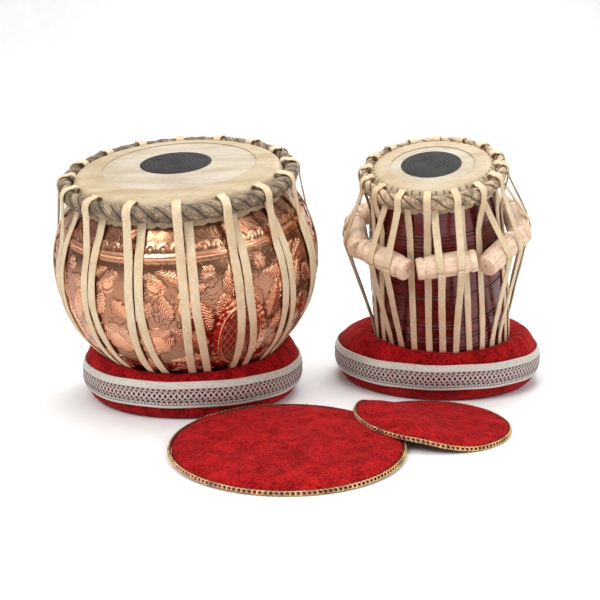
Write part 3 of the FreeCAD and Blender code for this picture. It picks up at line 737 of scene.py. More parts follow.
def lacquer_finish():
    """Dark red lacquer over turned wood, blackened in the grooves, with painted highlight bands, under a clear
    coat.
    """
    material, graph, shader = new_material("dark_red_lacquer")
    place = in_drum_frame(graph, "dayan")
    tone = colours().lacquer
    grain = grouped(graph, grain_group(), {
        "Vector": graph.stretched(place, (1.0, 1.0, 0.12)), "Scale": 130.0, "Stretch": 1.0})
    # Painted highlight: where streaks is high, bands round the shell are lightened towards a bright red.
    streaks = graph.noise(graph.stretched(place, (1.0, 1.0, 6.0)), 26.0, 4.0, 0.6)
    body = graph.mixed(grain["Mask"], dyed(tone, 0.72), dyed(tone, 1.15))
    lit = graph.mixed(graph.math("MULTIPLY", graph.ranged(streaks, 0.45, 0.68), 0.5), body,
                      (tone[0] * 2.1, tone[1] * 1.8, tone[2] * 1.2, 1.0))
    cut = graph.attribute("groove")
    graph.feed(shader["Base Color"], graph.mixed(
        graph.math("MULTIPLY", cut, 0.85), lit, (0.006, 0.002, 0.002, 1.0)))
    graph.feed(shader["Roughness"], graph.ranged(streaks, 0.3, 0.7, 0.22, 0.36))
    shader["Specular IOR Level"].default_value = 0.35
    shader["Coat Weight"].default_value = 0.30
    shader["Coat Roughness"].default_value = 0.07
    graph.feed(shader["Normal"], graph.bump(grain["Height"], 0.12, 0.0004))
    return material


def pale_wood_finish():
    """Bare turned wood with long grain, end rings, tool marks and handled grey patches."""
    material, graph, shader = new_material("pale_turned_wood")
    tone = colours().block
    grain_place = graph.attribute("grain", "Vector")
    across, away, along = graph.split(grain_place)
    turned_place = graph.node("ShaderNodeCombineXYZ")
    graph.feed(turned_place.inputs[0], along)
    graph.feed(turned_place.inputs[1], across)
    graph.feed(turned_place.inputs[2], away)
    grain = grouped(graph, grain_group(), {
        "Vector": turned_place.outputs[0], "Scale": 420.0, "Stretch": 14.0})
    squares = graph.math("ADD", graph.math("POWER", graph.math("ADD", across, 0.004), 2.0),
                         graph.math("POWER", away, 2.0))
    rings = graph.math("SINE", graph.math("MULTIPLY", graph.math("SQRT", squares), 5200.0))
    at_end = graph.ranged(graph.math("ABSOLUTE", along), 0.0315, 0.0326)
    body = graph.mixed(grain["Mask"], dyed(tone, 0.80), dyed(tone, 1.14))
    ringed = graph.mixed(graph.math("MULTIPLY", graph.ranged(rings, -0.2, 0.9), 0.35), body,
                         dyed((tone[0] * 0.70, tone[1] * 0.56, tone[2] * 0.42)))
    wooden = graph.mixed(at_end, body, ringed)
    handled = graph.noise(grain_place, 55.0, 4.0, 0.65)
    soiled = graph.mixed(graph.math("MULTIPLY", graph.ranged(handled, 0.52, 0.72), 0.45), wooden,
                         dyed((tone[0] * 0.62, tone[1] * 0.54, tone[2] * 0.50)))
    graph.feed(shader["Base Color"], soiled)
    shader["Roughness"].default_value = 0.55
    cuts = graph.math("SINE", graph.math("MULTIPLY", along, 4200.0))
    height = graph.math("ADD", grain["Height"], graph.math("MULTIPLY", cuts, 0.12))
    graph.feed(shader["Normal"], graph.bump(height, 0.45, 0.0004))
    return material


def velvet_finish(name, lightness):
    """Crimson velvet: clumped pile, crushed patches and a soft light edge."""
    material, graph, shader = new_material(name)
    tone = colours().velvet
    pile = grouped(graph, pile_group(), {
        "Vector": graph.place(), "Dark": dyed(tone, 0.40 * lightness),
        "Light": dyed(tone, 1.75 * lightness)})
    graph.feed(shader["Base Color"], pile["Colour"])
    graph.feed(shader["Roughness"], graph.ranged(pile["Crushed"], 0.3, 0.7, 0.95, 0.78))
    shader["Specular IOR Level"].default_value = 0.06
    shader["Sheen Weight"].default_value = 0.30
    shader["Sheen Roughness"].default_value = 0.42
    shader["Sheen Tint"].default_value = (1.0, 0.10, 0.10, 1.0)
    graph.feed(shader["Normal"], graph.bump(pile["Height"], 0.9, 0.0014))
    return material


def row_mask(graph, share, low, high):
    """One across a row of the band and nothing outside it."""
    edge = 0.006
    return graph.math("MULTIPLY", graph.ranged(share, low - edge, low + edge),
                      graph.ranged(share, high + edge, high - edge))


def band_finish(cushion):
    """Woven band: silver strips, corded and dotted rows, and a lattice on dark red."""
    material, graph, shader = new_material(f"{cushion}_brocade")
    turn, _, _ = graph.split(graph.node("ShaderNodeUVMap", uv_map="Pattern").outputs[0])
    rise = graph.attribute("rise")
    repeats = 66.0
    cell = graph.math("MULTIPLY", turn, repeats)
    zigzag = graph.math("MULTIPLY", graph.math("ABSOLUTE", graph.math(
        "SUBTRACT", graph.math("FRACT", cell), 0.5)), 2.0)
    inner = graph.math("DIVIDE", graph.math("SUBTRACT", rise, 0.34), 0.28)
    first = graph.math("ABSOLUTE", graph.math("SUBTRACT", inner, zigzag))
    second = graph.math("ABSOLUTE", graph.math(
        "SUBTRACT", graph.math("SUBTRACT", 1.0, inner), zigzag))
    crossing = graph.ranged(graph.math("MINIMUM", first, second), 0.19, 0.10)
    lattice = graph.math("MULTIPLY", crossing, row_mask(graph, rise, 0.34, 0.62))
    slanted = graph.math("SINE", graph.math("MULTIPLY", graph.math(
        "ADD", graph.math("MULTIPLY", turn, repeats * 3), graph.math("MULTIPLY", rise, 7.0)),
        FULL_TURN))
    twisted = graph.ranged(slanted, -0.9, -0.4)
    dotted = graph.ranged(graph.math("SINE", graph.math(
        "MULTIPLY", turn, FULL_TURN * repeats * 2)), -0.1, 0.4)
    silver = lattice
    for low, high, pattern in (
            (0.00, 0.11, None), (0.135, 0.215, twisted), (0.235, 0.285, dotted),
            (0.300, 0.325, None), (0.635, 0.660, None), (0.675, 0.725, dotted),
            (0.740, 1.10, None)):
        row = row_mask(graph, rise, low, high)
        if pattern is not None:
            row = graph.math("MULTIPLY", row, pattern)
        silver = graph.math("MAXIMUM", silver, row)
    thread = graph.math("SINE", graph.math("MULTIPLY", graph.math(
        "ADD", graph.math("MULTIPLY", turn, repeats * 7), graph.math("MULTIPLY", rise, 9.0)),
        FULL_TURN))
    fleck = graph.noise(graph.place(), 480.0, 2.0, 0.5)
    gilt = graph.math("MULTIPLY", graph.ranged(fleck, 0.52, 0.62),
                      row_mask(graph, rise, 0.80, 0.97))
    bright = graph.mixed(graph.math("MULTIPLY", gilt, 0.75), dyed(colours().silver),
                         (0.55, 0.47, 0.17, 1.0))
    # Painted shade: the silver threads are darkened in the troughs between them, along the slant of the twist.
    shaded = graph.mixed(graph.ranged(thread, 0.4, -0.9), bright, dyed(colours().silver, 0.45))
    beads = graph.math("MULTIPLY", graph.ranged(slanted, 0.1, 0.9),
                       row_mask(graph, rise, 0.10, 0.34))
    dark = graph.mixed(beads, dyed(colours().ground), (0.02, 0.016, 0.016, 1.0))
    graph.feed(shader["Base Color"], graph.mixed(silver, dark, shaded))
    graph.feed(shader["Metallic"], graph.math("MULTIPLY", silver, 0.20))
    graph.feed(shader["Roughness"], graph.ranged(silver, 0.0, 1.0, 0.85, 0.42))
    height = graph.math("ADD", silver, graph.math("MULTIPLY", thread, 0.18))
    graph.feed(shader["Normal"], graph.bump(height, 0.8, 0.0009))
    return material


def gold_finish():
    """Gilt thread, mottled between tarnished brown and bright gold."""
    material, graph, shader = new_material("gilt_thread")
    mottle = grouped(graph, mottle_group(), {
        "Vector": graph.place(), "Patch Scale": 90.0, "Fleck Scale": 800.0,
        "Dark": dyed(colours().gold, 0.45), "Light": dyed(colours().gold, 1.1)})
    graph.feed(shader["Base Color"], mottle["Colour"])
    shader["Metallic"].default_value = 0.85
    shader["Roughness"].default_value = 0.34
    graph.feed(shader["Normal"], graph.bump(mottle["Height"], 0.5, 0.0003))
    return material


def stone_finish():
    """Small glassy stones, uneven in colour."""
    material, graph, shader = new_material("purple_stone")
    mottle = grouped(graph, mottle_group(), {
        "Vector": graph.place(), "Patch Scale": 120.0, "Fleck Scale": 500.0,
        "Dark": dyed(colours().stone, 0.5), "Light": dyed(colours().stone, 1.3)})
    graph.feed(shader["Base Color"], mottle["Colour"])
    shader["Roughness"].default_value = 0.12
    shader["Coat Weight"].default_value = 0.6
    return material


def cloth_finish(name, dark, light):
    """A plain woven cloth, such as a lining or a cotton filling."""
    material, graph, shader = new_material(name)
    place = graph.place()
    mottle = grouped(graph, mottle_group(), {
        "Vector": place, "Patch Scale": 40.0, "Fleck Scale": 700.0, "Dark": dark, "Light": light})
    across, away, _ = graph.split(place)
    weave = graph.math("MULTIPLY", graph.math("SINE", graph.math("MULTIPLY", across, 5200.0)),
                       graph.math("SINE", graph.math("MULTIPLY", away, 5200.0)))
    graph.feed(shader["Base Color"], mottle["Colour"])
    shader["Roughness"].default_value = 0.9
    height = graph.math("ADD", mottle["Height"], graph.math("MULTIPLY", weave, 0.3))
    graph.feed(shader["Normal"], graph.bump(height, 0.5, 0.0004))
    return material


def floor_finish():
    """The pale floor, very slightly uneven in tone."""
    material, graph, shader = new_material("pale_floor")
    mottle = grouped(graph, mottle_group(), {
        "Vector": graph.place(), "Patch Scale": 2.0, "Fleck Scale": 30.0,
        "Dark": (0.86, 0.86, 0.86, 1.0), "Light": (0.90, 0.90, 0.90, 1.0)})
    graph.feed(shader["Base Color"], mottle["Colour"])
    shader["Roughness"].default_value = 0.7
    shader["Specular IOR Level"].default_value = 0.2
    return material


def give_finish(node, material):
    """Puts a material on a CAD node that keeps its own shape."""
    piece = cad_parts[node]
    piece.data.materials.clear()
    piece.data.materials.append(material)


# ---------------------------------------------------------------- chased pattern

SECTORS = 4
FIRST_MEDALLION = math.radians(27)
MEDALLION_HEIGHT = 0.105
MEDALLION = (0.024, 0.040)
ARCHES = 60
ARCH_FOOT = 0.2125
# Leaves of one quarter: root across and up from the medallion, direction, length, width.
LEAVES = (
    (26, 36, 118, 40, 8), (34, 20, 62, 44, 9), (36, 2, 20, 46, 10), (33, -18, -14, 42, 9),
    (24, -40, -40, 44, 9), (10, 54, 86, 34, 7), (66, 60, 152, 36, 8), (74, 36, 60, 34, 8),
    (70, -40, 165, 34, 8), (96, 58, -60, 34, 9), (90, -46, 60, 30, 7), (52, 78, 8, 34, 6),
    (12, -58, -100, 24, 6), (100, 84, 200, 30, 6),
)
SCROLLS = ((54, 50, 11, 1), (62, -30, 12, -1), (88, 74, 9, -1), (48, -56, 9, 1))
ROSETTES = ((92, 8, 20, 8), (0, 76, 9, 6), (30, 84, 7, 6), (0, -62, 8, 6))


def leaf(x, y, root_x, root_y, heading, length, width):
    """A feathered leaf: how far it stands out, the count of its side veins and where it is."""
    turn = math.radians(heading)
    along = (x - root_x) * math.cos(turn) + (y - root_y) * math.sin(turn)
    across = (y - root_y) * math.cos(turn) - (x - root_x) * math.sin(turn)
    across = across - 0.18 * length * (np.clip(along / length, 0, 1)) ** 2
    share = np.clip(along / length, 0, 1)
    half = width * np.sin(math.pi * share ** 0.75) * (1 + 0.16 * np.sin(FULL_TURN * along / 6))
    inside = smoothed_steps(half - np.abs(across), -0.6, 1.0) * (along > 0) * (along < length)
    dome = inside * (0.45 + 0.55 * np.clip(1 - (across / np.maximum(half, 0.5)) ** 2, 0, 1))
    vein = 0.35 * ridge(across, 0.9) * inside
    return dome + vein, (along * 0.9 + np.abs(across) * 1.1) / 3.4, inside


def scroll(x, y, centre_x, centre_y, reach, way):
    """A spiral tendril, raised."""
    away = np.hypot(x - centre_x, y - centre_y)
    angle = np.arctan2(y - centre_y, (x - centre_x) * way)
    turns = np.log(np.maximum(away, 0.3) / reach) / -0.75 - angle / FULL_TURN
    off = np.abs(turns - np.round(turns)) * 0.75 * away
    return ridge(off, 1.3) * (away < reach * 1.25) * 0.9


def rosette(x, y, centre_x, centre_y, reach, petals):
    """A flower: petals round a boss."""
    away = np.hypot(x - centre_x, y - centre_y)
    angle = np.arctan2(y - centre_y, x - centre_x)
    edge = reach * (0.78 + 0.22 * np.abs(np.cos(petals * angle / 2)) ** 0.7)
    inside = smoothed_steps(edge - away, -0.5, 1.2)
    petal = 0.45 + 0.45 * np.abs(np.cos(petals * angle / 2)) ** 0.6
    boss = ridge(away, reach * 0.24)
    groove = ridge(away - reach * 0.36, reach * 0.10)
    return inside * (petal - 0.35 * groove) + 0.5 * boss, away / 2.6, inside * (away > reach * 0.4)


def medallion(x, y):
    """The oval: a sunk field, a raised double border and a ring of small open beads."""
    across, up = MEDALLION[0] / MM, MEDALLION[1] / MM
    size = np.hypot(x / across, y / up)
    off = (size - 1) * (across + up) / 2
    border = ridge(off, 2.0) + 0.6 * ridge(off + 4.2, 0.9)
    angle = np.arctan2(y / up, x / across)
    beads = 26
    cell = angle * beads / FULL_TURN
    apart = (cell - np.round(cell)) * 8.2
    around = np.hypot(apart, off - 6.2)
    bead = ridge(around - 2.4, 0.9) + 0.8 * ridge(around, 1.0)
    field = smoothed_steps(-off, 1.5, 4.0)
    return np.maximum(border, bead) + 0.30 * field, field, off


def chasing(angles, heights):
    """Relief of the whole bowl, with the stroke and lattice values its copper reads."""
    radius = np.array([bayan_radius(height) for height in heights])
    quarter = FULL_TURN / SECTORS
    sector = np.round((angles - FIRST_MEDALLION) / quarter)
    x = (angles - FIRST_MEDALLION - sector * quarter) * radius / MM
    y = (heights - MEDALLION_HEIGHT) / MM
    relief = np.zeros(len(x))
    phase = np.zeros(len(x))
    stroke = np.zeros(len(x))
    mirrored = np.abs(x)
    for motif, shapes in ((leaf, LEAVES), (rosette, ROSETTES)):
        for numbers in shapes:
            high, count, inside = motif(mirrored, y, *numbers)
            over = high > relief
            relief = np.where(over, high, relief)
            phase = np.where(over, count, phase)
            stroke = np.where(over, inside, stroke)
    for numbers in SCROLLS:
        high = scroll(mirrored, y, *numbers)
        stroke = np.where(high > relief, 0, stroke)
        relief = np.maximum(relief, high)
    raised, field, off = medallion(x, y)
    near = off < 9.5
    relief = np.where(near, raised, relief)
    stroke = np.where(near, 0, stroke)
    top = heights > 0.197
    cell = angles * ARCHES / FULL_TURN
    beside = (cell - np.floor(cell) - 0.5) * FULL_TURN * radius / ARCHES
    away = np.hypot(beside, heights - ARCH_FOOT)
    arch = ridge(away - 0.0052, 0.0010) * (heights > ARCH_FOOT - 0.001)
    boss = 1.1 * ridge(np.hypot(beside, heights - ARCH_FOOT - 0.0008), 0.0020)
    rings = 1.15 * ridge(heights - 0.2065, 0.0023) + 0.6 * ridge(heights - 0.2018, 0.0008)
    border = np.maximum(np.maximum(arch, boss), rings)
    relief = np.where(top, border, relief * smoothed_steps(0.197 - heights, 0, 0.004))
    stroke = np.where(top, 0, stroke)
    fade = smoothed_steps(heights, 0.020, 0.034)
    lattice = np.column_stack((x * MM, y * MM, field * fade))
    return relief * fade, phase, stroke * fade, lattice


# ---------------------------------------------------------------- drums

class TABLA_OT_copper_bowl(bpy.types.Operator):
    """Makes the chased copper bowl of the bass drum"""
    bl_idname = "tabla.copper_bowl"
    bl_label = "Copper Bowl"

    def execute(self, context):
        foot = [(0, 0), (0.020, 0), (0.040, 0), (0.052, 0), (0.056, 0.0024), (0.060, 0.005)]
        sides = [(bayan_radius(height), height) for height in spread(0.0065, 0.236, 150)]
        rim_low = BAYAN["rim"] - RIM_ROUND
        rim = arc((BAYAN["rim_radius"] - RIM_ROUND, rim_low), RIM_ROUND, 0, 90, 5)
        wall = BAYAN["wall"]
        inner_rim = BAYAN["rim_radius"] - BAYAN["rim_wall"]
        inside = [(inner_rim, BAYAN["rim"]), (inner_rim, rim_low)]
        inside += [(bayan_radius(height) - wall, height) for height in spread(0.236, 0.010, 14)]
        inside += [(0.052 - wall, wall), (0, wall)]
        mesh, angles, shares = spun("bayan_shell_chased", foot + sides + rim + inside, 560, False)
        points = read_points(mesh)
        away = np.hypot(points[:, 0], points[:, 1])
        heights = np.clip(points[:, 2], 0.006, 0.236)
        expected = np.array([bayan_radius(height) for height in heights])
        outside = (away > expected - wall / 2) & (points[:, 2] > 0.006) & (points[:, 2] < 0.2361)
        relief, phase, stroke, lattice = chasing(angles, heights)
        lift = np.where(outside, relief - 0.45, 0) * shape().relief_depth
        lift = np.where(points[:, 2] > 0.234, 0, lift)
        outward = np.column_stack((np.sin(angles), -np.cos(angles), np.zeros(len(angles))))
        write_points(mesh, points + outward * lift[:, None])
        strokes = np.column_stack((relief, phase, stroke * outside))
        lattice[:, 2] *= outside
        keep_values(mesh, "chasing", strokes)
        keep_values(mesh, "lattice", lattice)
        add_piece("bayan_shell_chased", mesh, copper_finish(), "bayan",
                  ["bayan_shell"], drum_place("bayan"))
        return {"FINISHED"}


class TABLA_OT_wooden_shell(bpy.types.Operator):
    """Makes the turned and lacquered shell of the treble drum"""
    bl_idname = "tabla.wooden_shell"
    bl_label = "Wooden Shell"

    def execute(self, context):
        grooves = (0.206, 0.202, 0.193, 0.184, 0.181, 0.132, 0.097, 0.092, 0.079, 0.074,
                   0.061, 0.056, 0.030, 0.026)
        foot = [(0, 0), (0.03, 0), (0.06, 0)] + arc((0.0715, 0.0085), 0.0085, -90, -4, 7)
        heights = spread(0.010, DAYAN["rim"] - RIM_ROUND, 330)
        sides = []
        for height in heights:
            cut = sum(math.exp(-((height - groove) / 0.0008) ** 2) for groove in grooves)
            bead = sum(math.exp(-((height - groove - 0.0018) / 0.0009) ** 2) for groove in grooves)
            sides.append((dayan_radius(height) - 0.0010 * cut + 0.0003 * bead, height))
        rim = arc((DAYAN["rim_radius"] - RIM_ROUND, DAYAN["rim"] - RIM_ROUND), RIM_ROUND, 0, 90, 6)
        inside = [(0.054, 0.259), (0.0545, 0.24), (0.057, 0.17), (0.060, 0.098),
                  (0.056, 0.088), (0.046, 0.084), (0, 0.084)]
        mesh, angles, shares = spun("dayan_shell_turned", foot + sides + rim + inside, 200, False)
        points = read_points(mesh)
        cuts = np.zeros(len(points))
        for groove in grooves:
            cuts = np.maximum(cuts, ridge(points[:, 2] - groove, 0.0009))
        keep_values(mesh, "groove", cuts)
        add_piece("dayan_shell_turned", mesh, lacquer_finish(), "dayan",
                  ["dayan_shell"], drum_place("dayan"))
        return {"FINISHED"}


def skin_ring(drum):
    """The outer skin: a ring round an off-centre field, with a ragged skirt."""
    sizes = DRUMS[drum]
    low, high = LINING + SKIN, LINING + 2 * SKIN
    flat = sizes["rim_radius"] - RIM_ROUND
    side = sizes["rim"] - RIM_ROUND
    top = sizes["rim"] + high
    rows = spread(sizes["field_radius"], flat, 9)
    outline = [(rows[0] + 0.0002, sizes["rim"] + low), (rows[0], top - 0.0003)]
    outline += [(rows[0] + 0.0003, top)] + [(radius, top) for radius in rows[1:]]
    outline += arc((flat, side), RIM_ROUND + high, 75, 0, 6)
    foot_radius = sizes["skirt_radius"]
    skirt = spread(side - 0.003, sizes["skirt"] - 0.003, 6)
    for height in skirt:
        share = (side - height) / (side - skirt[-1])
        outline.append((sizes["rim_radius"] + (foot_radius - sizes["rim_radius"]) * share + high,
                        height))
    outline.append((foot_radius + low, skirt[-1]))
    outline.append((sizes["rim_radius"] + low, side))
    outline += arc((flat, side), RIM_ROUND + low, 15, 90, 5)
    mesh, angles, shares = spun(f"{drum}_edge_skin", outline, 360)
    points = read_points(mesh)
    away = np.hypot(points[:, 0], points[:, 1])
    slide = 1 - smoothed_steps(away, sizes["field_radius"] + 0.0005, flat - 0.002)
    points[:, 1] += sizes["field_back"] * slide * (points[:, 2] > side)
    skirted = smoothed_steps(side - points[:, 2], 0, side - skirt[-1])
    ragged = (0.0006 * np.sin(16 * angles + 0.8) + 0.0004 * np.sin(37 * angles)
              + 0.0003 * np.sin(71 * angles + 2))
    notches = ridge(np.mod(angles * 29 / FULL_TURN, 1) - 0.5, 0.10)
    points[:, 2] += skirted * (ragged + 0.0022 * notches)
    flare = skirted * (0.0006 + 0.0006 * np.sin(23 * angles))
    points[:, 0] += np.sin(angles) * flare
    points[:, 1] -= np.cos(angles) * flare
    if drum == "dayan":
        nips = ridge((np.mod(angles * 48 / FULL_TURN, 1) - 0.5), 0.16)
        at_edge = ridge(away - (sizes["rim_radius"] - 0.0010), 0.0022) * (points[:, 2] > side)
        points[:, 2] -= nips * at_edge * 0.0016
        keep_values(mesh, "stitch", nips * at_edge)
    write_points(mesh, points)
    return mesh


class TABLA_OT_heads(bpy.types.Operator):
    """Makes the outer skins and gives the other skins their finishes"""
    bl_idname = "tabla.heads"
    bl_label = "Heads"

    def execute(self, context):
        edge = skin_finish("edge_skin", colours().skin)
        playing = skin_finish("playing_skin", colours().playing_skin)
        for drum in DRUMS:
            add_piece(f"{drum}_edge_skin", skin_ring(drum), edge, drum,
                      [f"{drum}_outer_skin"], drum_place(drum))
            give_finish(f"{drum}_main_skin", playing)
            give_finish(f"{drum}_inner_skin", edge)
        return {"FINISHED"}


class TABLA_OT_black_spots(bpy.types.Operator):
    """Makes the domed black spots"""
    bl_idname = "tabla.black_spots"
    bl_label = "Black Spots"

    def execute(self, context):
        for drum, sizes in DRUMS.items():
            radius = sizes["spot_radius"]
            floor = sizes["rim"] + LINING + SKIN
            outline = [(0, floor), (radius - 0.0002, floor), (radius, floor + 0.0003)]
            for share in spread(0.985, 0, 26):
                dome = 0.0012 * (1 - share ** 4) ** 0.7 + 0.0003
                step = 0.00010 * math.sin(FULL_TURN * share * radius / 0.0050)
                outline.append((radius * share, floor + dome + step * (share > 0)))
            mesh, angles, shares = spun(f"{drum}_spot_domed", outline, 128, False)
            centre = Matrix.Translation((sizes["spot_side"], sizes["spot_back"], 0))
            add_piece(f"{drum}_spot_domed", mesh, paste_finish(drum), drum,
                      [f"{drum}_black_spot"], drum_place(drum) @ centre)
        return {"FINISHED"}


class TABLA_OT_hoops(bpy.types.Operator):
    """Makes the twisted hide hoops round the heads"""
    bl_idname = "tabla.hoops"
    bl_label = "Hoops"

    def execute(self, context):
        strands = shape().hoop_strands
        finishes = {"bayan": hoop_finish("bayan_twisted_hide", 0.80),
                    "dayan": hoop_finish("dayan_twisted_hide", 1.75)}
        for drum, sizes in DRUMS.items():
            around = FULL_TURN * sizes["hoop_radius"]
            turns = round(around / shape().hoop_pitch)
            half = sizes["hoop_half"]
            tall = half + sizes["hoop_straight"] / 2
            outline = oval((sizes["hoop_radius"], sizes["hoop_height"]), half, tall, 2.3, 36)
            mesh, angles, shares = spun(f"{drum}_hoop_twisted", outline, 640)
            points = read_points(mesh)
            strand = strands * (shares + turns * angles / FULL_TURN)
            bulge = np.abs(np.sin(math.pi * strand))
            wander = 1 + 0.04 * np.sin(5 * angles + 1) + 0.04 * np.sin(19 * angles)
            squeeze = (0.80 + 0.20 * bulge ** 0.6) * wander
            away = np.hypot(points[:, 0], points[:, 1]) - sizes["hoop_radius"]
            reach = sizes["hoop_radius"] + away * np.minimum(squeeze, 1.0)
            level = sizes["hoop_height"] + (points[:, 2] - sizes["hoop_height"]) * squeeze
            write_points(mesh, np.column_stack(
                (np.sin(angles) * reach, -np.cos(angles) * reach, level)))
            layer = np.column_stack((bulge, strand, angles * sizes["hoop_radius"] / 0.004))
            keep_values(mesh, "twist", layer)
            add_piece(f"{drum}_hoop_twisted", mesh, finishes[drum], drum,
                      [f"{drum}_hoop_braid"], drum_place(drum))
        return {"FINISHED"}


# ---------------------------------------------------------------- straps

def smooth_path(points, gap):
    """Points at even gaps along a rounded path through a few (radius, height) points."""
    corners = [Vector(point) for point in points]
    for _ in range(3):
        cut = [corners[0]]
        for here, ahead in zip(corners, corners[1:]):
            cut += [here.lerp(ahead, 0.25), here.lerp(ahead, 0.75)]
        corners = cut + [corners[-1]]
    lengths = [0]
    for here, ahead in zip(corners, corners[1:]):
        lengths.append(lengths[-1] + (ahead - here).length)
    count = max(3, round(lengths[-1] / gap))
    wanted = np.linspace(0, lengths[-1], count)
    radii = np.interp(wanted, lengths, [corner.x for corner in corners])
    heights = np.interp(wanted, lengths, [corner.y for corner in corners])
    return list(zip(radii, heights))


def angle_at(height, levels, angles):
    """The angle of a run at a height, eased between its angles at three levels."""
    top, middle, bottom = levels
    if height > middle:
        share = min(1, (height - middle) / (top - middle))
        return angles[1] + (angles[0] - angles[1]) * share
    share = min(1, (middle - height) / (middle - bottom))
    return angles[1] + (angles[2] - angles[1]) * share


def down_the_shell(radius_at, start, end, gap=0.006):
    """The path of a strap that lies on a shell, a hair clear of it."""
    clear = shape().strap_thickness / 2 + STRAP_GAP
    path = []
    for height in spread(start, end, max(2, round((start - end) / gap))):
        outward = Vector((1, (radius_at(height) - radius_at(height + MM)) / MM)).normalized()
        path.append((radius_at(height) + outward.x * clear, height + outward.y * clear))
    return path


def over_hoop(drum):
    """The start of a run that comes up through the head and over the hoop."""
    sizes = DRUMS[drum]
    clear = shape().strap_thickness / 2 + STRAP_GAP
    top = sizes["rim"] + HEAD_TOP + clear
    reach = sizes["hoop_half"] + clear
    high = sizes["hoop_height"] + sizes["hoop_straight"] / 2
    low = sizes["hoop_height"] - sizes["hoop_straight"] / 2
    edge = sizes["rim_radius"]
    path = [(edge + 0.0002, top - 0.0042), (edge + 0.0014, top - 0.0012), (edge + 0.0040, top + 0.0008)]
    for slope in (-20, 0, 20, 40, 60, 80):
        lean = math.radians(slope)
        path.append((sizes["hoop_radius"] + reach * math.sin(lean), high + reach * math.cos(lean)))
    edge = sizes["hoop_radius"] + reach
    return path + [(edge + 0.0002, high - 0.001), (edge, low - 0.0015), (edge - 0.0006, low - 0.005)]


def under_hoop(drum):
    """The start of a run that comes out between the skin's skirt and the hoop."""
    sizes = DRUMS[drum]
    clear = HEAD_TOP + shape().strap_thickness / 2 + STRAP_GAP
    low = sizes["hoop_height"] - sizes["hoop_straight"] / 2 - sizes["hoop_half"]
    radius = sizes["skirt_radius"] + clear
    return [(radius, low + 0.002), (radius + 0.0008, low - 0.004)]


def to_bottom_ring(drum):
    """The end of a run, round the edge of the base and in to the bottom ring."""
    sizes = DRUMS[drum]
    clear = shape().strap_thickness / 2 + STRAP_GAP
    ring = sizes["ring_radius"] + RING_TUBE + clear
    ends = [(sizes["base_radius"] + clear, -clear), (ring, -clear)]
    if drum == "bayan":
        return arc((sizes["foot_radius"], sizes["foot"]), clear, -55, -55.1, 2) + ends
    return arc((0.07105, 0.00895), 0.009 + clear, -20, -70, 4) + ends


def add_ribbon(bm, lie, path, angles, widths, seed):
    """One strap along a path of (radius, height): a softened strip, a little uneven."""
    around = 10
    lengths = np.concatenate(([0], np.cumsum([
        math.dist(here, ahead) for here, ahead in zip(path, path[1:])])))
    strip = bmesh.ops.create_grid(
        bm, x_segments=len(path) - 1, y_segments=around, size=1)["verts"]
    half_thick = shape().strap_thickness / 2
    section = oval((0, 0), 1.0, 1.0, 5.0, around)
    for corner in strip:
        step = round((corner.co.x + 1) / 2 * (len(path) - 1))
        turn = round((corner.co.y + 1) / 2 * around)
        across, out = section[turn % around]
        radius, height = path[step]
        ahead = path[min(step + 1, len(path) - 1)]
        behind = path[max(step - 1, 0)]
        way = Vector((ahead[0] - behind[0], ahead[1] - behind[1])).normalized()
        length = lengths[step]
        uneven = 1 + 0.02 * math.sin(length * 97 + seed) + 0.012 * math.sin(length * 260 + seed * 3)
        side = across * widths[step] / 2 * uneven
        cup = 0.0003 * across * across + 0.0002 * math.sin(length * 140 + seed * 2) * across
        lift = out * half_thick + cup
        angle = math.radians(angles[step]) + 0.0002 * math.sin(length * 60 + seed) / radius
        reach = radius - way.y * lift
        corner.co = (
            math.sin(angle) * reach + math.cos(angle) * side,
            -math.cos(angle) * reach + math.sin(angle) * side,
            height + way.x * lift)
        corner[lie] = (length + seed, side, 0)
    return strip


def strap_mesh(name, runs):
    """One mesh of several straps, their ends closed."""
    bm = bmesh.new()
    lie = bm.verts.layers.float_vector.new("lie")
    for seed, (path, angles, widths) in enumerate(runs):
        add_ribbon(bm, lie, path, angles, widths, seed * 1.7)
    bmesh.ops.remove_doubles(bm, verts=bm.verts, dist=2e-6)
    open_edges = [edge for edge in bm.edges if edge.is_boundary]
    bmesh.ops.holes_fill(bm, edges=open_edges, sides=0)
    return finished_mesh(name, bm)


def run_of(path, levels, angles, widths):
    """A run's path with its angle and width at every step."""
    at = [angle_at(height, levels, angles) for _, height in path]
    wide = []
    for _, height in path:
        share = min(1, max(0, (levels[1] - height) / (levels[1] - levels[2])))
        wide.append(widths[0] + (widths[1] - widths[0]) * share)
    return path, at, wide


class TABLA_OT_bayan_straps(bpy.types.Operator):
    """Laces the bass drum with 32 runs of rawhide"""
    bl_idname = "tabla.bayan_straps"
    bl_label = "Bayan Straps"

    def execute(self, context):
        levels = (BAYAN["hoop_height"], (BAYAN["neck"] + BAYAN["waist"]) / 2, 0)
        widths = (shape().bayan_strap_width, 0.0066)
        ends = down_the_shell(bayan_radius, 0.200, 0.0075) + to_bottom_ring("bayan")
        neck = down_the_shell(bayan_radius, 0.222, 0.206)
        starts = {"over_hoop": over_hoop("bayan"), "under_hoop": under_hoop("bayan") + neck}
        runs = []
        for loop in range(LOOPS):
            turn = BAYAN_FIRST_LOOP + loop * 360 / LOOPS
            for start, angles in BAYAN_RUNS.items():
                path = smooth_path(starts[start] + ends, 0.0035)
                runs.append(run_of(path, levels, [turn + angle for angle in angles], widths))
        mesh = strap_mesh("bayan_lacing", runs)
        add_piece("bayan_lacing", mesh, strap_finish("bayan_rawhide", 0.04, 0.14), "bayan",
                  ["bayan_straps"], drum_place("bayan"))
        return {"FINISHED"}


def block_centre(index):
    """Where a tuning block's middle is: its angle, its radius and its height."""
    angle = DAYAN_FIRST_BLOCK + index * 360 / BLOCKS
    radius = DAYAN["block_orbit"] - BLOCK_LIFTS[index] * DAYAN["block_slope"]
    return angle, radius, DAYAN["block_height"] + BLOCK_LIFTS[index]


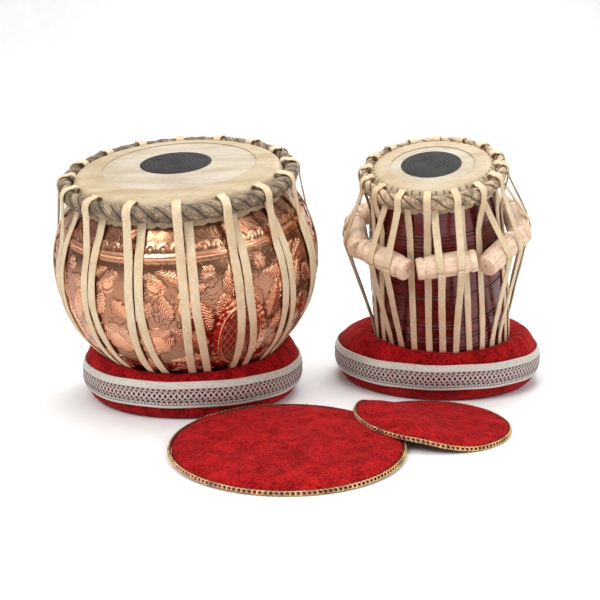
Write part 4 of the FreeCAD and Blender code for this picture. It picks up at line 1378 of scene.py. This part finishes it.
def over_block(start, index, angle):
    """The bends of a run round the outer side of a tuning block, from a start above it."""
    middle, orbit, level = block_centre(index)
    aside = orbit * math.tan(math.radians(angle))
    radius = math.hypot(orbit, aside)
    height = level + aside * math.tan(math.radians(BLOCK_TILTS[index]))
    reach = DAYAN["block_radius"] + shape().strap_thickness / 2 + BLOCK_GAP
    away = Vector((start[-1][0] - radius, start[-1][1] - height))
    first = math.atan2(away.y, away.x) - math.acos(reach / away.length)
    bends = spread(first, -math.radians(13), 7)
    return [(radius + reach * math.cos(bend), height + reach * math.sin(bend)) for bend in bends]


class TABLA_OT_dayan_straps(bpy.types.Operator):
    """Laces the treble drum: a pair of runs over each block, and a pair behind it"""
    bl_idname = "tabla.dayan_straps"
    bl_label = "Dayan Straps"

    def execute(self, context):
        levels = (DAYAN["hoop_height"], DAYAN["block_height"], 0)
        widths = (shape().dayan_strap_width, 0.0072)
        material = strap_finish("dayan_rawhide", 0.05, 0.15)
        ends = down_the_shell(dayan_radius, 0.060, 0.012, 0.010) + to_bottom_ring("dayan")
        side = down_the_shell(dayan_radius, 0.208, 0.066, 0.010)
        starts = {"over_hoop": over_hoop("dayan"), "under_hoop": under_hoop("dayan")}
        place = drum_place("dayan")
        behind = []
        for index in range(BLOCKS):
            middle, radius, height = block_centre(index)
            halves = {"upper": [], "lower": []}
            for start, angles in OVER_RUNS.items():
                bends = over_block(starts[start], index, angles[1])
                turned_angles = [middle + angle for angle in angles]
                path = smooth_path(starts[start] + bends + ends, 0.0035)
                at = [step for step, point in enumerate(path) if point[1] < height][0]
                halves["upper"].append(run_of(path[:at + 1], levels, turned_angles, widths))
                halves["lower"].append(run_of(path[at:], levels, turned_angles, widths))
            for start, angles in BEHIND_RUNS.items():
                path = smooth_path(starts[start] + side + ends, 0.0035)
                turned_angles = [middle + angle for angle in angles]
                behind.append(run_of(path, levels, turned_angles, widths))
            for half, runs in halves.items():
                name = f"block_lacing_{index + 1}_{half}"
                piece = add_piece(name, strap_mesh(name, runs), material, None,
                                  [f"straps_over_block_{index + 1}"], place)
                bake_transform(piece)
        mesh = strap_mesh("dayan_lacing_behind", behind)
        add_piece("dayan_lacing_behind", mesh, material, "dayan",
                  ["dayan_straps_behind"], place)
        return {"FINISHED"}


class TABLA_OT_tuning_blocks(bpy.types.Operator):
    """Turns the eight tuning blocks"""
    bl_idname = "tabla.tuning_blocks"
    bl_label = "Tuning Blocks"

    def execute(self, context):
        half, radius = DAYAN["block_half"], DAYAN["block_radius"]
        ends = [(0.0015, half - 0.006), (0.0016, half - 0.0006), (0.0022, half), (0.0070, half),
                (0.0110, half), (0.0117, half - 0.0004), (0.0122, half - 0.0014),
                (0.0125, half - 0.0030), (0.0126, half - 0.0066), (0.0122, half - 0.0074), (0.0112, half - 0.0080),
                (0.0112, half - 0.0092), (0.0122, half - 0.0100), (0.0126, half - 0.0112),
                (0.0126, half - 0.0120), (0.0131, half - 0.0128)]
        swell = [(radius - 0.0002 * abs(share) ** 2, share * (half - 0.0145))
                 for share in spread(1, -1, 9)]
        lower = [(radius_here, -height) for radius_here, height in reversed(ends)]
        outline = [(0, half - 0.006)] + ends + swell + lower + [(0, -(half - 0.006))]
        material = pale_wood_finish()
        for index in range(BLOCKS):
            name = f"tuning_block_{index + 1}_turned"
            mesh, angles, shares = spun(name, outline, 64, False)
            points = read_points(mesh)
            rough = 1 + 0.010 * np.sin(3 * angles + index) + 0.006 * np.sin(
                5 * angles + points[:, 2] * 90 + index * 2)
            rough = np.minimum(rough, 1.0)
            points[:, :2] *= rough[:, None]
            write_points(mesh, points)
            keep_values(mesh, "grain", points)
            smooth_sharply(mesh, 42)
            middle, orbit, height = block_centre(index)
            turn, tilt = math.radians(middle), math.radians(BLOCK_TILTS[index])
            lie = Vector((math.cos(tilt) * math.cos(turn), math.cos(tilt) * math.sin(turn),
                          math.sin(tilt)))
            aim = Vector((0, 0, 1)).rotation_difference(lie).to_matrix().to_4x4()
            spot = Vector((math.sin(turn) * orbit, -math.cos(turn) * orbit, height))
            place = drum_place("dayan") @ Matrix.Translation(spot) @ aim
            add_piece(name, mesh, material, f"block_{index + 1}",
                      [f"tuning_block_{index + 1}"], place)
        return {"FINISHED"}


class TABLA_OT_bottom_rings(bpy.types.Operator):
    """Gives the bottom lacing rings their hide"""
    bl_idname = "tabla.bottom_rings"
    bl_label = "Bottom Rings"

    def execute(self, context):
        hide = cloth_finish("ring_hide", dyed(colours().strap, 0.45), dyed(colours().strap, 0.9))
        for drum in DRUMS:
            give_finish(f"{drum}_bottom_ring", hide)
        return {"FINISHED"}


# ---------------------------------------------------------------- cushions and covers

def swollen(mesh, held, pressure, limit):
    """Swells a closed mesh with air, as cloth; held points stay and none goes past the limit."""
    scene = bpy.context.scene
    rest = read_points(mesh)
    cloth_body = bpy.data.objects.new("swelling_cloth", mesh)
    scene.collection.objects.link(cloth_body)
    group = cloth_body.vertex_groups.new(name="held")
    group.add([int(index) for index in np.flatnonzero(held)], 1.0, "REPLACE")
    cloth = cloth_body.modifiers.new("swelling", "CLOTH")
    cloth.settings.quality = 6
    cloth.settings.mass = 0.25
    cloth.settings.tension_stiffness = 18
    cloth.settings.compression_stiffness = 18
    cloth.settings.bending_stiffness = 0.6
    cloth.settings.use_pressure = True
    cloth.settings.uniform_pressure_force = pressure
    cloth.settings.effector_weights.gravity = 0
    cloth.settings.vertex_group_mass = "held"
    cloth.point_cache.frame_start = 1
    cloth.point_cache.frame_end = 20
    for step in range(1, 21):
        scene.frame_set(step)
    shown = cloth_body.evaluated_get(bpy.context.evaluated_depsgraph_get())
    moved = read_points(shown.data) - rest
    scene.frame_set(1)
    bpy.data.objects.remove(cloth_body)
    far = np.maximum(np.linalg.norm(moved, axis=1), 1e-9)
    held_back = np.minimum(1, limit / far)
    write_points(mesh, rest + moved * held_back[:, None])


def ruffled(points, spacing, depth, seed):
    """Uneven swell over points, as soft filling gives."""
    offset = Vector((seed, seed * 0.7, 0))
    swell = [noise.noise(Vector(point) / spacing + offset) for point in points]
    return np.array(swell) * depth


def seat_profile(drum, slack):
    """The outline, from below, of the room a drum and its lacing take in its cushion."""
    sizes = DRUMS[drum]
    room = shape().strap_thickness + 2 * STRAP_GAP + slack
    under = -(2 * RING_TUBE + slack)
    if drum == "bayan":
        points = [(0, under), (sizes["base_radius"] + 0.0006, under),
                  (sizes["foot_radius"] + room, sizes["foot"] - room)]
        for height in spread(0.008, 0.100, 40):
            slope = (bayan_radius(height + MM) - bayan_radius(height)) / MM
            outward = Vector((1, -slope)).normalized()
            points.append((bayan_radius(height) + outward.x * room, height + outward.y * room))
    else:
        edge = sizes["foot_radius"] + 0.002 + room
        points = [(0, under), (sizes["base_radius"] + 0.003, under),
                  (sizes["foot_radius"] + room, 0), (edge, 0.016), (edge, 0.100)]
    return np.array(points)


def seated(points, drum, cushion, slack=0.0004):
    """Moves cushion points out of a drum's seat, and how far each then is from the seat."""
    place = np.array(drum_place(drum).inverted() @ cushion_place(cushion))
    local = points @ place[:3, :3].T + place[:3, 3]
    away = np.hypot(local[:, 0], local[:, 1])
    profile = seat_profile(drum, slack)
    gaps = np.linalg.norm(np.diff(profile, axis=0), axis=1)
    lengths = np.concatenate(([0], np.cumsum(gaps)))
    fine = np.linspace(0, lengths[-1], 260)
    line = np.column_stack([np.interp(fine, lengths, profile[:, axis]) for axis in (0, 1)])
    flat = np.column_stack((away, local[:, 2]))
    apart = np.linalg.norm(flat[:, None, :] - line[None, :, :], axis=2)
    nearest = apart.argmin(axis=1)
    limit = np.interp(local[:, 2], profile[1:, 1], profile[1:, 0])
    inside = (local[:, 2] > profile[0, 1]) & (away < limit)
    target = line[nearest]
    scale = target[:, 0] / np.maximum(away, 1e-6)
    local[inside, 0] *= scale[inside]
    local[inside, 1] *= scale[inside]
    local[inside, 2] = target[inside, 1]
    back = np.linalg.inv(place)
    distance = np.where(inside, 0, apart.min(axis=1))
    return local @ back[:3, :3].T + back[:3, 3], distance


def cushion_outline(sizes, inset):
    """The section of a ring cushion, drawn in a little so that it can swell."""
    outside, hole, top = sizes["radius"] - inset, sizes["hole"] + inset, sizes["height"] - inset
    shoulder = CUSHION_SHOULDER
    outline = spread(hole + CUSHION_FOOT, outside - CUSHION_FOOT, 7)
    outline = [(radius, inset * 0.3) for radius in outline]
    outline += arc((outside - CUSHION_FOOT, CUSHION_FOOT), CUSHION_FOOT, -78, -10, 5)
    outline += [(outside + 0.0024 * (1 - share * share), 0.031 + 0.015 * share)
                for share in spread(-1, 1, 8)]
    outline += arc((outside - shoulder, top - shoulder), shoulder, 28, 84, 6)
    outline += [(radius, top) for radius in spread(outside - shoulder, hole + shoulder, 6)]
    outline += arc((hole + shoulder, top - shoulder), shoulder, 102, 176, 6)
    outline += [(hole, height) for height in spread(top - shoulder - 0.003, CUSHION_FOOT, 4)]
    outline += arc((hole + CUSHION_FOOT, CUSHION_FOOT), CUSHION_FOOT, 190, 260, 4)
    return outline


class TABLA_OT_ring_cushions(bpy.types.Operator):
    """Makes the velvet ring cushions, swollen with filling and pressed in by the drums"""
    bl_idname = "tabla.ring_cushions"
    bl_label = "Ring Cushions"

    def execute(self, context):
        velvet = velvet_finish("cushion_velvet", 0.95)
        cotton = cloth_finish("cotton_filling", (0.50, 0.46, 0.38, 1), (0.72, 0.68, 0.60, 1))
        for seed, (cushion, sizes) in enumerate(CUSHIONS.items()):
            drum = cushion.removesuffix("_cushion")
            mesh, angles, shares = spun(f"{cushion}_velvet", cushion_outline(sizes, 0.0012), 160)
            points = read_points(mesh)
            away = np.hypot(points[:, 0], points[:, 1])
            banded = (away > sizes["radius"] - 0.004) & (points[:, 2] > 0.014) & (
                points[:, 2] < 0.048)
            swollen(mesh, banded | (points[:, 2] < 0.001), 4.0, shape().velvet_swell)
            points = read_points(mesh)
            points, apart = seated(points, drum, cushion)
            upper = smoothed_steps(points[:, 2], sizes["height"] - 0.026, sizes["height"] - 0.006)
            puff = 0.0090 * ridge(apart - 0.015, 0.015) * upper
            puckers = 0.0009 * np.sin(angles * 31 + 2.2 * np.sin(angles * 5 + seed))
            points[:, 2] += puff + puckers * ridge(apart, 0.022) * upper
            points[:, 2] += ruffled(points, 0.022, 0.0016, seed + 3) * upper
            away = np.hypot(points[:, 0], points[:, 1])
            gathered = 0.0007 * np.sin(angles * 67 + np.sin(angles * 9)) * np.where(
                away > sizes["radius"] - 0.012, 1, 0)
            rise = (points[:, 2] - 0.031) / 0.015
            near_band = np.abs(rise) < 1.06
            bulge = 0.0026 * (1 - np.minimum(rise * rise, 1))
            limit = np.where(near_band, sizes["radius"] + bulge - 0.0003, 1.0)
            reach = np.minimum(away + gathered * ~near_band, limit)
            points[:, :2] *= (reach / away)[:, None]
            points[:, 2] = np.maximum(points[:, 2], 0.0002)
            points, apart = seated(points, drum, cushion)
            write_points(mesh, points)
            piece = add_piece(f"{cushion}_velvet", mesh, velvet, cushion,
                              [f"{cushion}_cover"], cushion_place(cushion))
            soften = piece.modifiers.new("soften", "SUBSURF")
            soften.levels = soften.render_levels = 1
            mesh, _, _ = spun(f"{cushion}_cotton", cushion_outline(sizes, 0.006), 96)
            packed, _ = seated(read_points(mesh), drum, cushion, 0.0035)
            packed[:, 2] = np.maximum(packed[:, 2], 0.0008)
            write_points(mesh, packed)
            add_piece(f"{cushion}_cotton", mesh, cotton, cushion,
                      [f"{cushion}_filling"], cushion_place(cushion))
        return {"FINISHED"}


class TABLA_OT_cushion_bands(bpy.types.Operator):
    """Makes the silver brocade bands round the cushions"""
    bl_idname = "tabla.cushion_bands"
    bl_label = "Cushion Bands"

    def execute(self, context):
        middle, half = (BAND_FOOT + BAND_TOP) / 2, (BAND_TOP - BAND_FOOT) / 2
        for cushion, sizes in CUSHIONS.items():
            faces = {}
            for side, out in (("outer", BAND_THICKNESS + 0.0001), ("inner", 0.0001)):
                faces[side] = []
                for share in spread(-1, 1, 41):
                    bulge = math.sqrt(BAND_CURVE ** 2 - (half * share) ** 2)
                    bulge -= math.sqrt(BAND_CURVE ** 2 - half ** 2)
                    rise = (share + 1) / 2
                    cords = sum(math.exp(-((rise - row) / 0.016) ** 2)
                                for row in (0.05, 0.15, 0.285, 0.325, 0.635, 0.74, 0.80, 0.98))
                    ridged = 0.0004 * cords * (side == "outer")
                    faces[side].append((sizes["radius"] + bulge + out + ridged,
                                        middle + half * share))
            outline = faces["outer"] + list(reversed(faces["inner"][::5]))
            mesh, angles, shares = spun(f"{cushion}_brocade", outline, 360)
            points = read_points(mesh)
            keep_values(mesh, "rise", (points[:, 2] - BAND_FOOT) / (2 * half))
            points[:, 2] += 0.0007 * np.sin(angles * 3 + 1) + 0.0003 * np.sin(angles * 11)
            write_points(mesh, points)
            add_piece(f"{cushion}_brocade", mesh, band_finish(cushion), cushion,
                      [f"{cushion}_band"], cushion_place(cushion))
        return {"FINISHED"}


def settled(points, cover):
    """Lets the part of the small cover that overhangs the big one sink towards the floor."""
    if cover == "bayan_cover":
        return points
    place = cover_place(cover)
    middle = place.to_translation()
    up = place.to_3x3() @ Vector((0, 0, 1))
    across, away = points[:, 0] - middle.x, points[:, 1] - middle.y
    under = middle.z - (up.x * across + up.y * away) / up.z
    big = cover_place("bayan_cover").to_translation()
    beyond = np.hypot(points[:, 0] - big.x, points[:, 1] - big.y) - COVERS["bayan_cover"]
    sink = smoothed_steps(beyond, 0.008, 0.085)
    lowered = points.copy()
    lowered[:, 2] -= sink * np.maximum(under - 0.0004, 0)
    return lowered


def placed(mesh, cover):
    """Puts a mesh made in a cover's own frame where the cover lies, settled."""
    mesh.transform(cover_place(cover))
    write_points(mesh, settled(read_points(mesh), cover))
    return mesh


class TABLA_OT_head_covers(bpy.types.Operator):
    """Makes the padded velvet covers and their linings"""
    bl_idname = "tabla.head_covers"
    bl_label = "Head Covers"

    def execute(self, context):
        velvet = velvet_finish("cover_velvet", 1.0)
        lining = cloth_finish("lining_cloth", (0.10, 0.012, 0.014, 1), (0.17, 0.02, 0.024, 1))
        for seed, (cover, radius) in enumerate(COVERS.items()):
            floor, top = 0.0013, COVER_THICKNESS
            outline = [(radius * share, floor) for share in spread(0, 0.98, 14)]
            outline += arc((radius - 0.0024, floor + 0.0024), 0.0024, -50, 60, 5)
            for share in spread(0.965, 0, 30):
                outline.append((radius * share, top + 0.0012 * (1 - share ** 6) - 0.0010
                                * share ** 12))
            mesh, angles, shares = spun(f"{cover}_velvet", outline, 160, False)
            points = read_points(mesh)
            swollen(mesh, points[:, 2] < floor + 0.001, 3.0, 0.0016)
            points = read_points(mesh)
            away = np.hypot(points[:, 0], points[:, 1]) / radius
            upper = smoothed_steps(points[:, 2], floor + 0.001, top - 0.001)
            points[:, 2] += upper * ruffled(points, 0.035, 0.0016, seed + 11)
            points[:, 2] += upper * ruffled(points, 0.010, 0.0005, seed + 5)
            pull = 0.0006 * np.sin(angles * 43 + 2 * np.sin(angles * 7))
            points[:, 2] += upper * pull * smoothed_steps(away, 0.80, 0.97)
            write_points(mesh, points)
            piece = add_piece(f"{cover}_velvet", placed(mesh, cover), velvet, cover,
                              [f"{cover}_pad"])
            soften = piece.modifiers.new("soften", "SUBSURF")
            soften.levels = soften.render_levels = 1
            under = [(0, 0)] + [(radius * share, 0) for share in spread(0.2, 0.985, 8)]
            under += [(radius * 0.992, 0.0005), (radius * 0.99, 0.0011)]
            under += [(radius * share, 0.0012) for share in spread(0.95, 0.1, 6)] + [(0, 0.0012)]
            mesh, angles, shares = spun(f"{cover}_lining_cloth", under, 128, False)
            add_piece(f"{cover}_lining_cloth", placed(mesh, cover), lining, cover,
                      [f"{cover}_lining"])
        return {"FINISHED"}


def small_ring(reach, thick, steps, sides):
    """One link: a little ring round its own Z axis."""
    mesh, _, _ = spun("link", oval((reach, 0), thick, thick, 2, sides), steps)
    return mesh


class TABLA_OT_gold_lace(bpy.types.Operator):
    """Makes the gold lace round the covers: a strip, its looped links and the small stones"""
    bl_idname = "tabla.gold_lace"
    bl_label = "Gold Lace"

    def execute(self, context):
        gold, stone_material = gold_finish(), stone_finish()
        backing = cloth_finish("lace_backing", (0.05, 0.004, 0.006, 1), (0.10, 0.008, 0.012, 1))
        link = small_ring(0.0021, 0.0006, 10, 5)
        for cover, radius in COVERS.items():
            near, far = radius + 0.0001, radius + 0.0014
            low, high = 0.0003, LACE_HEIGHT - 0.0004
            strip, _, _ = spun(f"{cover}_lace_strip", [
                (near, low), (far, low), (far + 0.0003, (low + high) / 2), (far, high),
                (near, high)], 256)
            add_piece(f"{cover}_lace_strip", placed(strip, cover), backing, cover,
                      [f"{cover}_lace"])
            bm = bmesh.new()
            stones = bmesh.new()
            count = round(FULL_TURN * far / shape().lace_pitch)
            for step in range(count):
                for half, lean in ((0.0, 34), (0.5, -34)):
                    turn = FULL_TURN * (step + half) / count
                    place = Matrix.Rotation(turn, 4, "Z") @ Matrix.Translation(
                        (0, -(far + 0.0006), (low + high) / 2))
                    place = place @ Matrix.Rotation(math.radians(90), 4, "X")
                    place = place @ Matrix.Rotation(math.radians(lean), 4, "Y")
                    start = len(bm.verts)
                    bm.from_mesh(link)
                    bm.verts.ensure_lookup_table()
                    bmesh.ops.transform(bm, matrix=place, verts=bm.verts[start:])
                spot = Matrix.Rotation(FULL_TURN * step / count, 4, "Z")
                spot = spot @ Matrix.Translation((0, -(far + 0.0010), (low + high) / 2))
                flat = Matrix.Diagonal((1, 0.8, 1, 1))
                bmesh.ops.create_uvsphere(
                    stones, u_segments=7, v_segments=5, radius=0.00105, matrix=spot @ flat)
            mesh = finished_mesh(f"{cover}_gold_lace", bm)
            add_piece(f"{cover}_gold_lace", placed(mesh, cover), gold, cover,
                      [f"{cover}_lace"])
            mesh = finished_mesh(f"{cover}_stones", stones)
            add_piece(f"{cover}_stones", placed(mesh, cover), stone_material, cover,
                      [f"{cover}_lace"])
        return {"FINISHED"}


# ---------------------------------------------------------------- stage

class TABLA_OT_stage(bpy.types.Operator):
    """Sets up the pale floor, the soft lights and the camera"""
    bl_idname = "tabla.stage"
    bl_label = "Stage"

    def execute(self, context):
        scene = context.scene
        bm = bmesh.new()
        bmesh.ops.create_grid(bm, x_segments=1, y_segments=1, size=5)
        back = [edge for edge in bm.edges if all(end.co.y > 0 for end in edge.verts)]
        bmesh.ops.translate(bm, vec=(0, -2.6, 0), verts=[end for edge in back
                                                         for end in edge.verts])
        wall = bmesh.ops.extrude_edge_only(bm, edges=back)["geom"]
        tops = [item for item in wall if isinstance(item, bmesh.types.BMVert)]
        bmesh.ops.translate(bm, vec=(0, 0, 4), verts=tops)
        bmesh.ops.bevel(bm, geom=back, offset=1.2, affect="EDGES", segments=16, profile=0.5,
                        material=-1)
        mesh = finished_mesh("floor", bm)
        if mesh.polygons[0].normal.z < 0:
            mesh.flip_normals()
        floor = bpy.data.objects.new("floor", mesh)
        mesh.materials.append(floor_finish())
        scene.collection.objects.link(floor)
        lamps = (
            ("key", (-1.1, -1.5, 1.9), 1.1, 30), ("fill", (1.5, -1.3, 1.3), 1.3, 14),
            ("top", (0.1, 0.2, 2.3), 1.6, 26), ("back", (0.6, 1.5, 1.6), 1.0, 12))
        for name, spot, size, power in lamps:
            lamp = bpy.data.lights.new(name, "AREA")
            lamp.size = size
            lamp.energy = power
            holder = bpy.data.objects.new(name, lamp)
            aim = Vector((0, 0, 0.12)) - Vector(spot)
            holder.matrix_world = Matrix.Translation(spot) @ aim.to_track_quat(
                "-Z", "Y").to_matrix().to_4x4()
            scene.collection.objects.link(holder)
        world = bpy.data.worlds.new("studio")
        world.use_nodes = True
        graph = Graph(world.node_tree)
        light = world.node_tree.nodes["Background"].inputs
        _, _, up = graph.split(graph.node("ShaderNodeTexCoord").outputs["Generated"])
        graph.feed(light["Color"], graph.mixed(
            graph.ranged(up, -0.1, 0.9), (0.30, 0.30, 0.31, 1.0), (1.0, 1.0, 1.0, 1.0)))
        light["Strength"].default_value = 0.75
        scene.world = world
        scene.view_settings.view_transform = "Standard"
        lens = bpy.data.cameras.new("camera")
        lens.lens = 66
        lens.sensor_width = 36
        camera = bpy.data.objects.new("camera", lens)
        camera.location = (-0.0087, -1.2138, 0.385)
        camera.rotation_euler = (math.radians(78), 0, 0)
        scene.collection.objects.link(camera)
        scene.camera = camera
        return {"FINISHED"}


OPERATORS = (
    TABLA_OT_stage, TABLA_OT_copper_bowl, TABLA_OT_wooden_shell, TABLA_OT_heads,
    TABLA_OT_black_spots, TABLA_OT_hoops, TABLA_OT_bayan_straps, TABLA_OT_dayan_straps,
    TABLA_OT_tuning_blocks, TABLA_OT_bottom_rings, TABLA_OT_ring_cushions,
    TABLA_OT_cushion_bands, TABLA_OT_head_covers, TABLA_OT_gold_lace,
)


class TABLA_PT_tabla(bpy.types.Panel):
    """Lists the pieces, sizes and colours of the tabla set"""
    bl_idname = "TABLA_PT_tabla"
    bl_label = "Tabla"
    bl_space_type = "VIEW_3D"
    bl_region_type = "UI"
    bl_category = "Tabla"

    def draw(self, context):
        for operator in OPERATORS:
            self.layout.operator(operator.bl_idname)
        for settings in (context.scene.tabla_shape, context.scene.tabla_colours):
            for name in settings.__annotations__:
                self.layout.prop(settings, name)


CLASSES = (TablaShape, TablaColours) + OPERATORS + (TABLA_PT_tabla,)


def register():
    for item in CLASSES:
        bpy.utils.register_class(item)
    bpy.types.Scene.tabla_shape = PointerProperty(type=TablaShape)
    bpy.types.Scene.tabla_colours = PointerProperty(type=TablaColours)


def unregister():
    del bpy.types.Scene.tabla_colours
    del bpy.types.Scene.tabla_shape
    for item in reversed(CLASSES):
        bpy.utils.unregister_class(item)


def main():
    register()
    for operator in OPERATORS:
        _, name = operator.bl_idname.split(".")
        getattr(bpy.ops.tabla, name)()


if __name__ == "__main__":
    main()
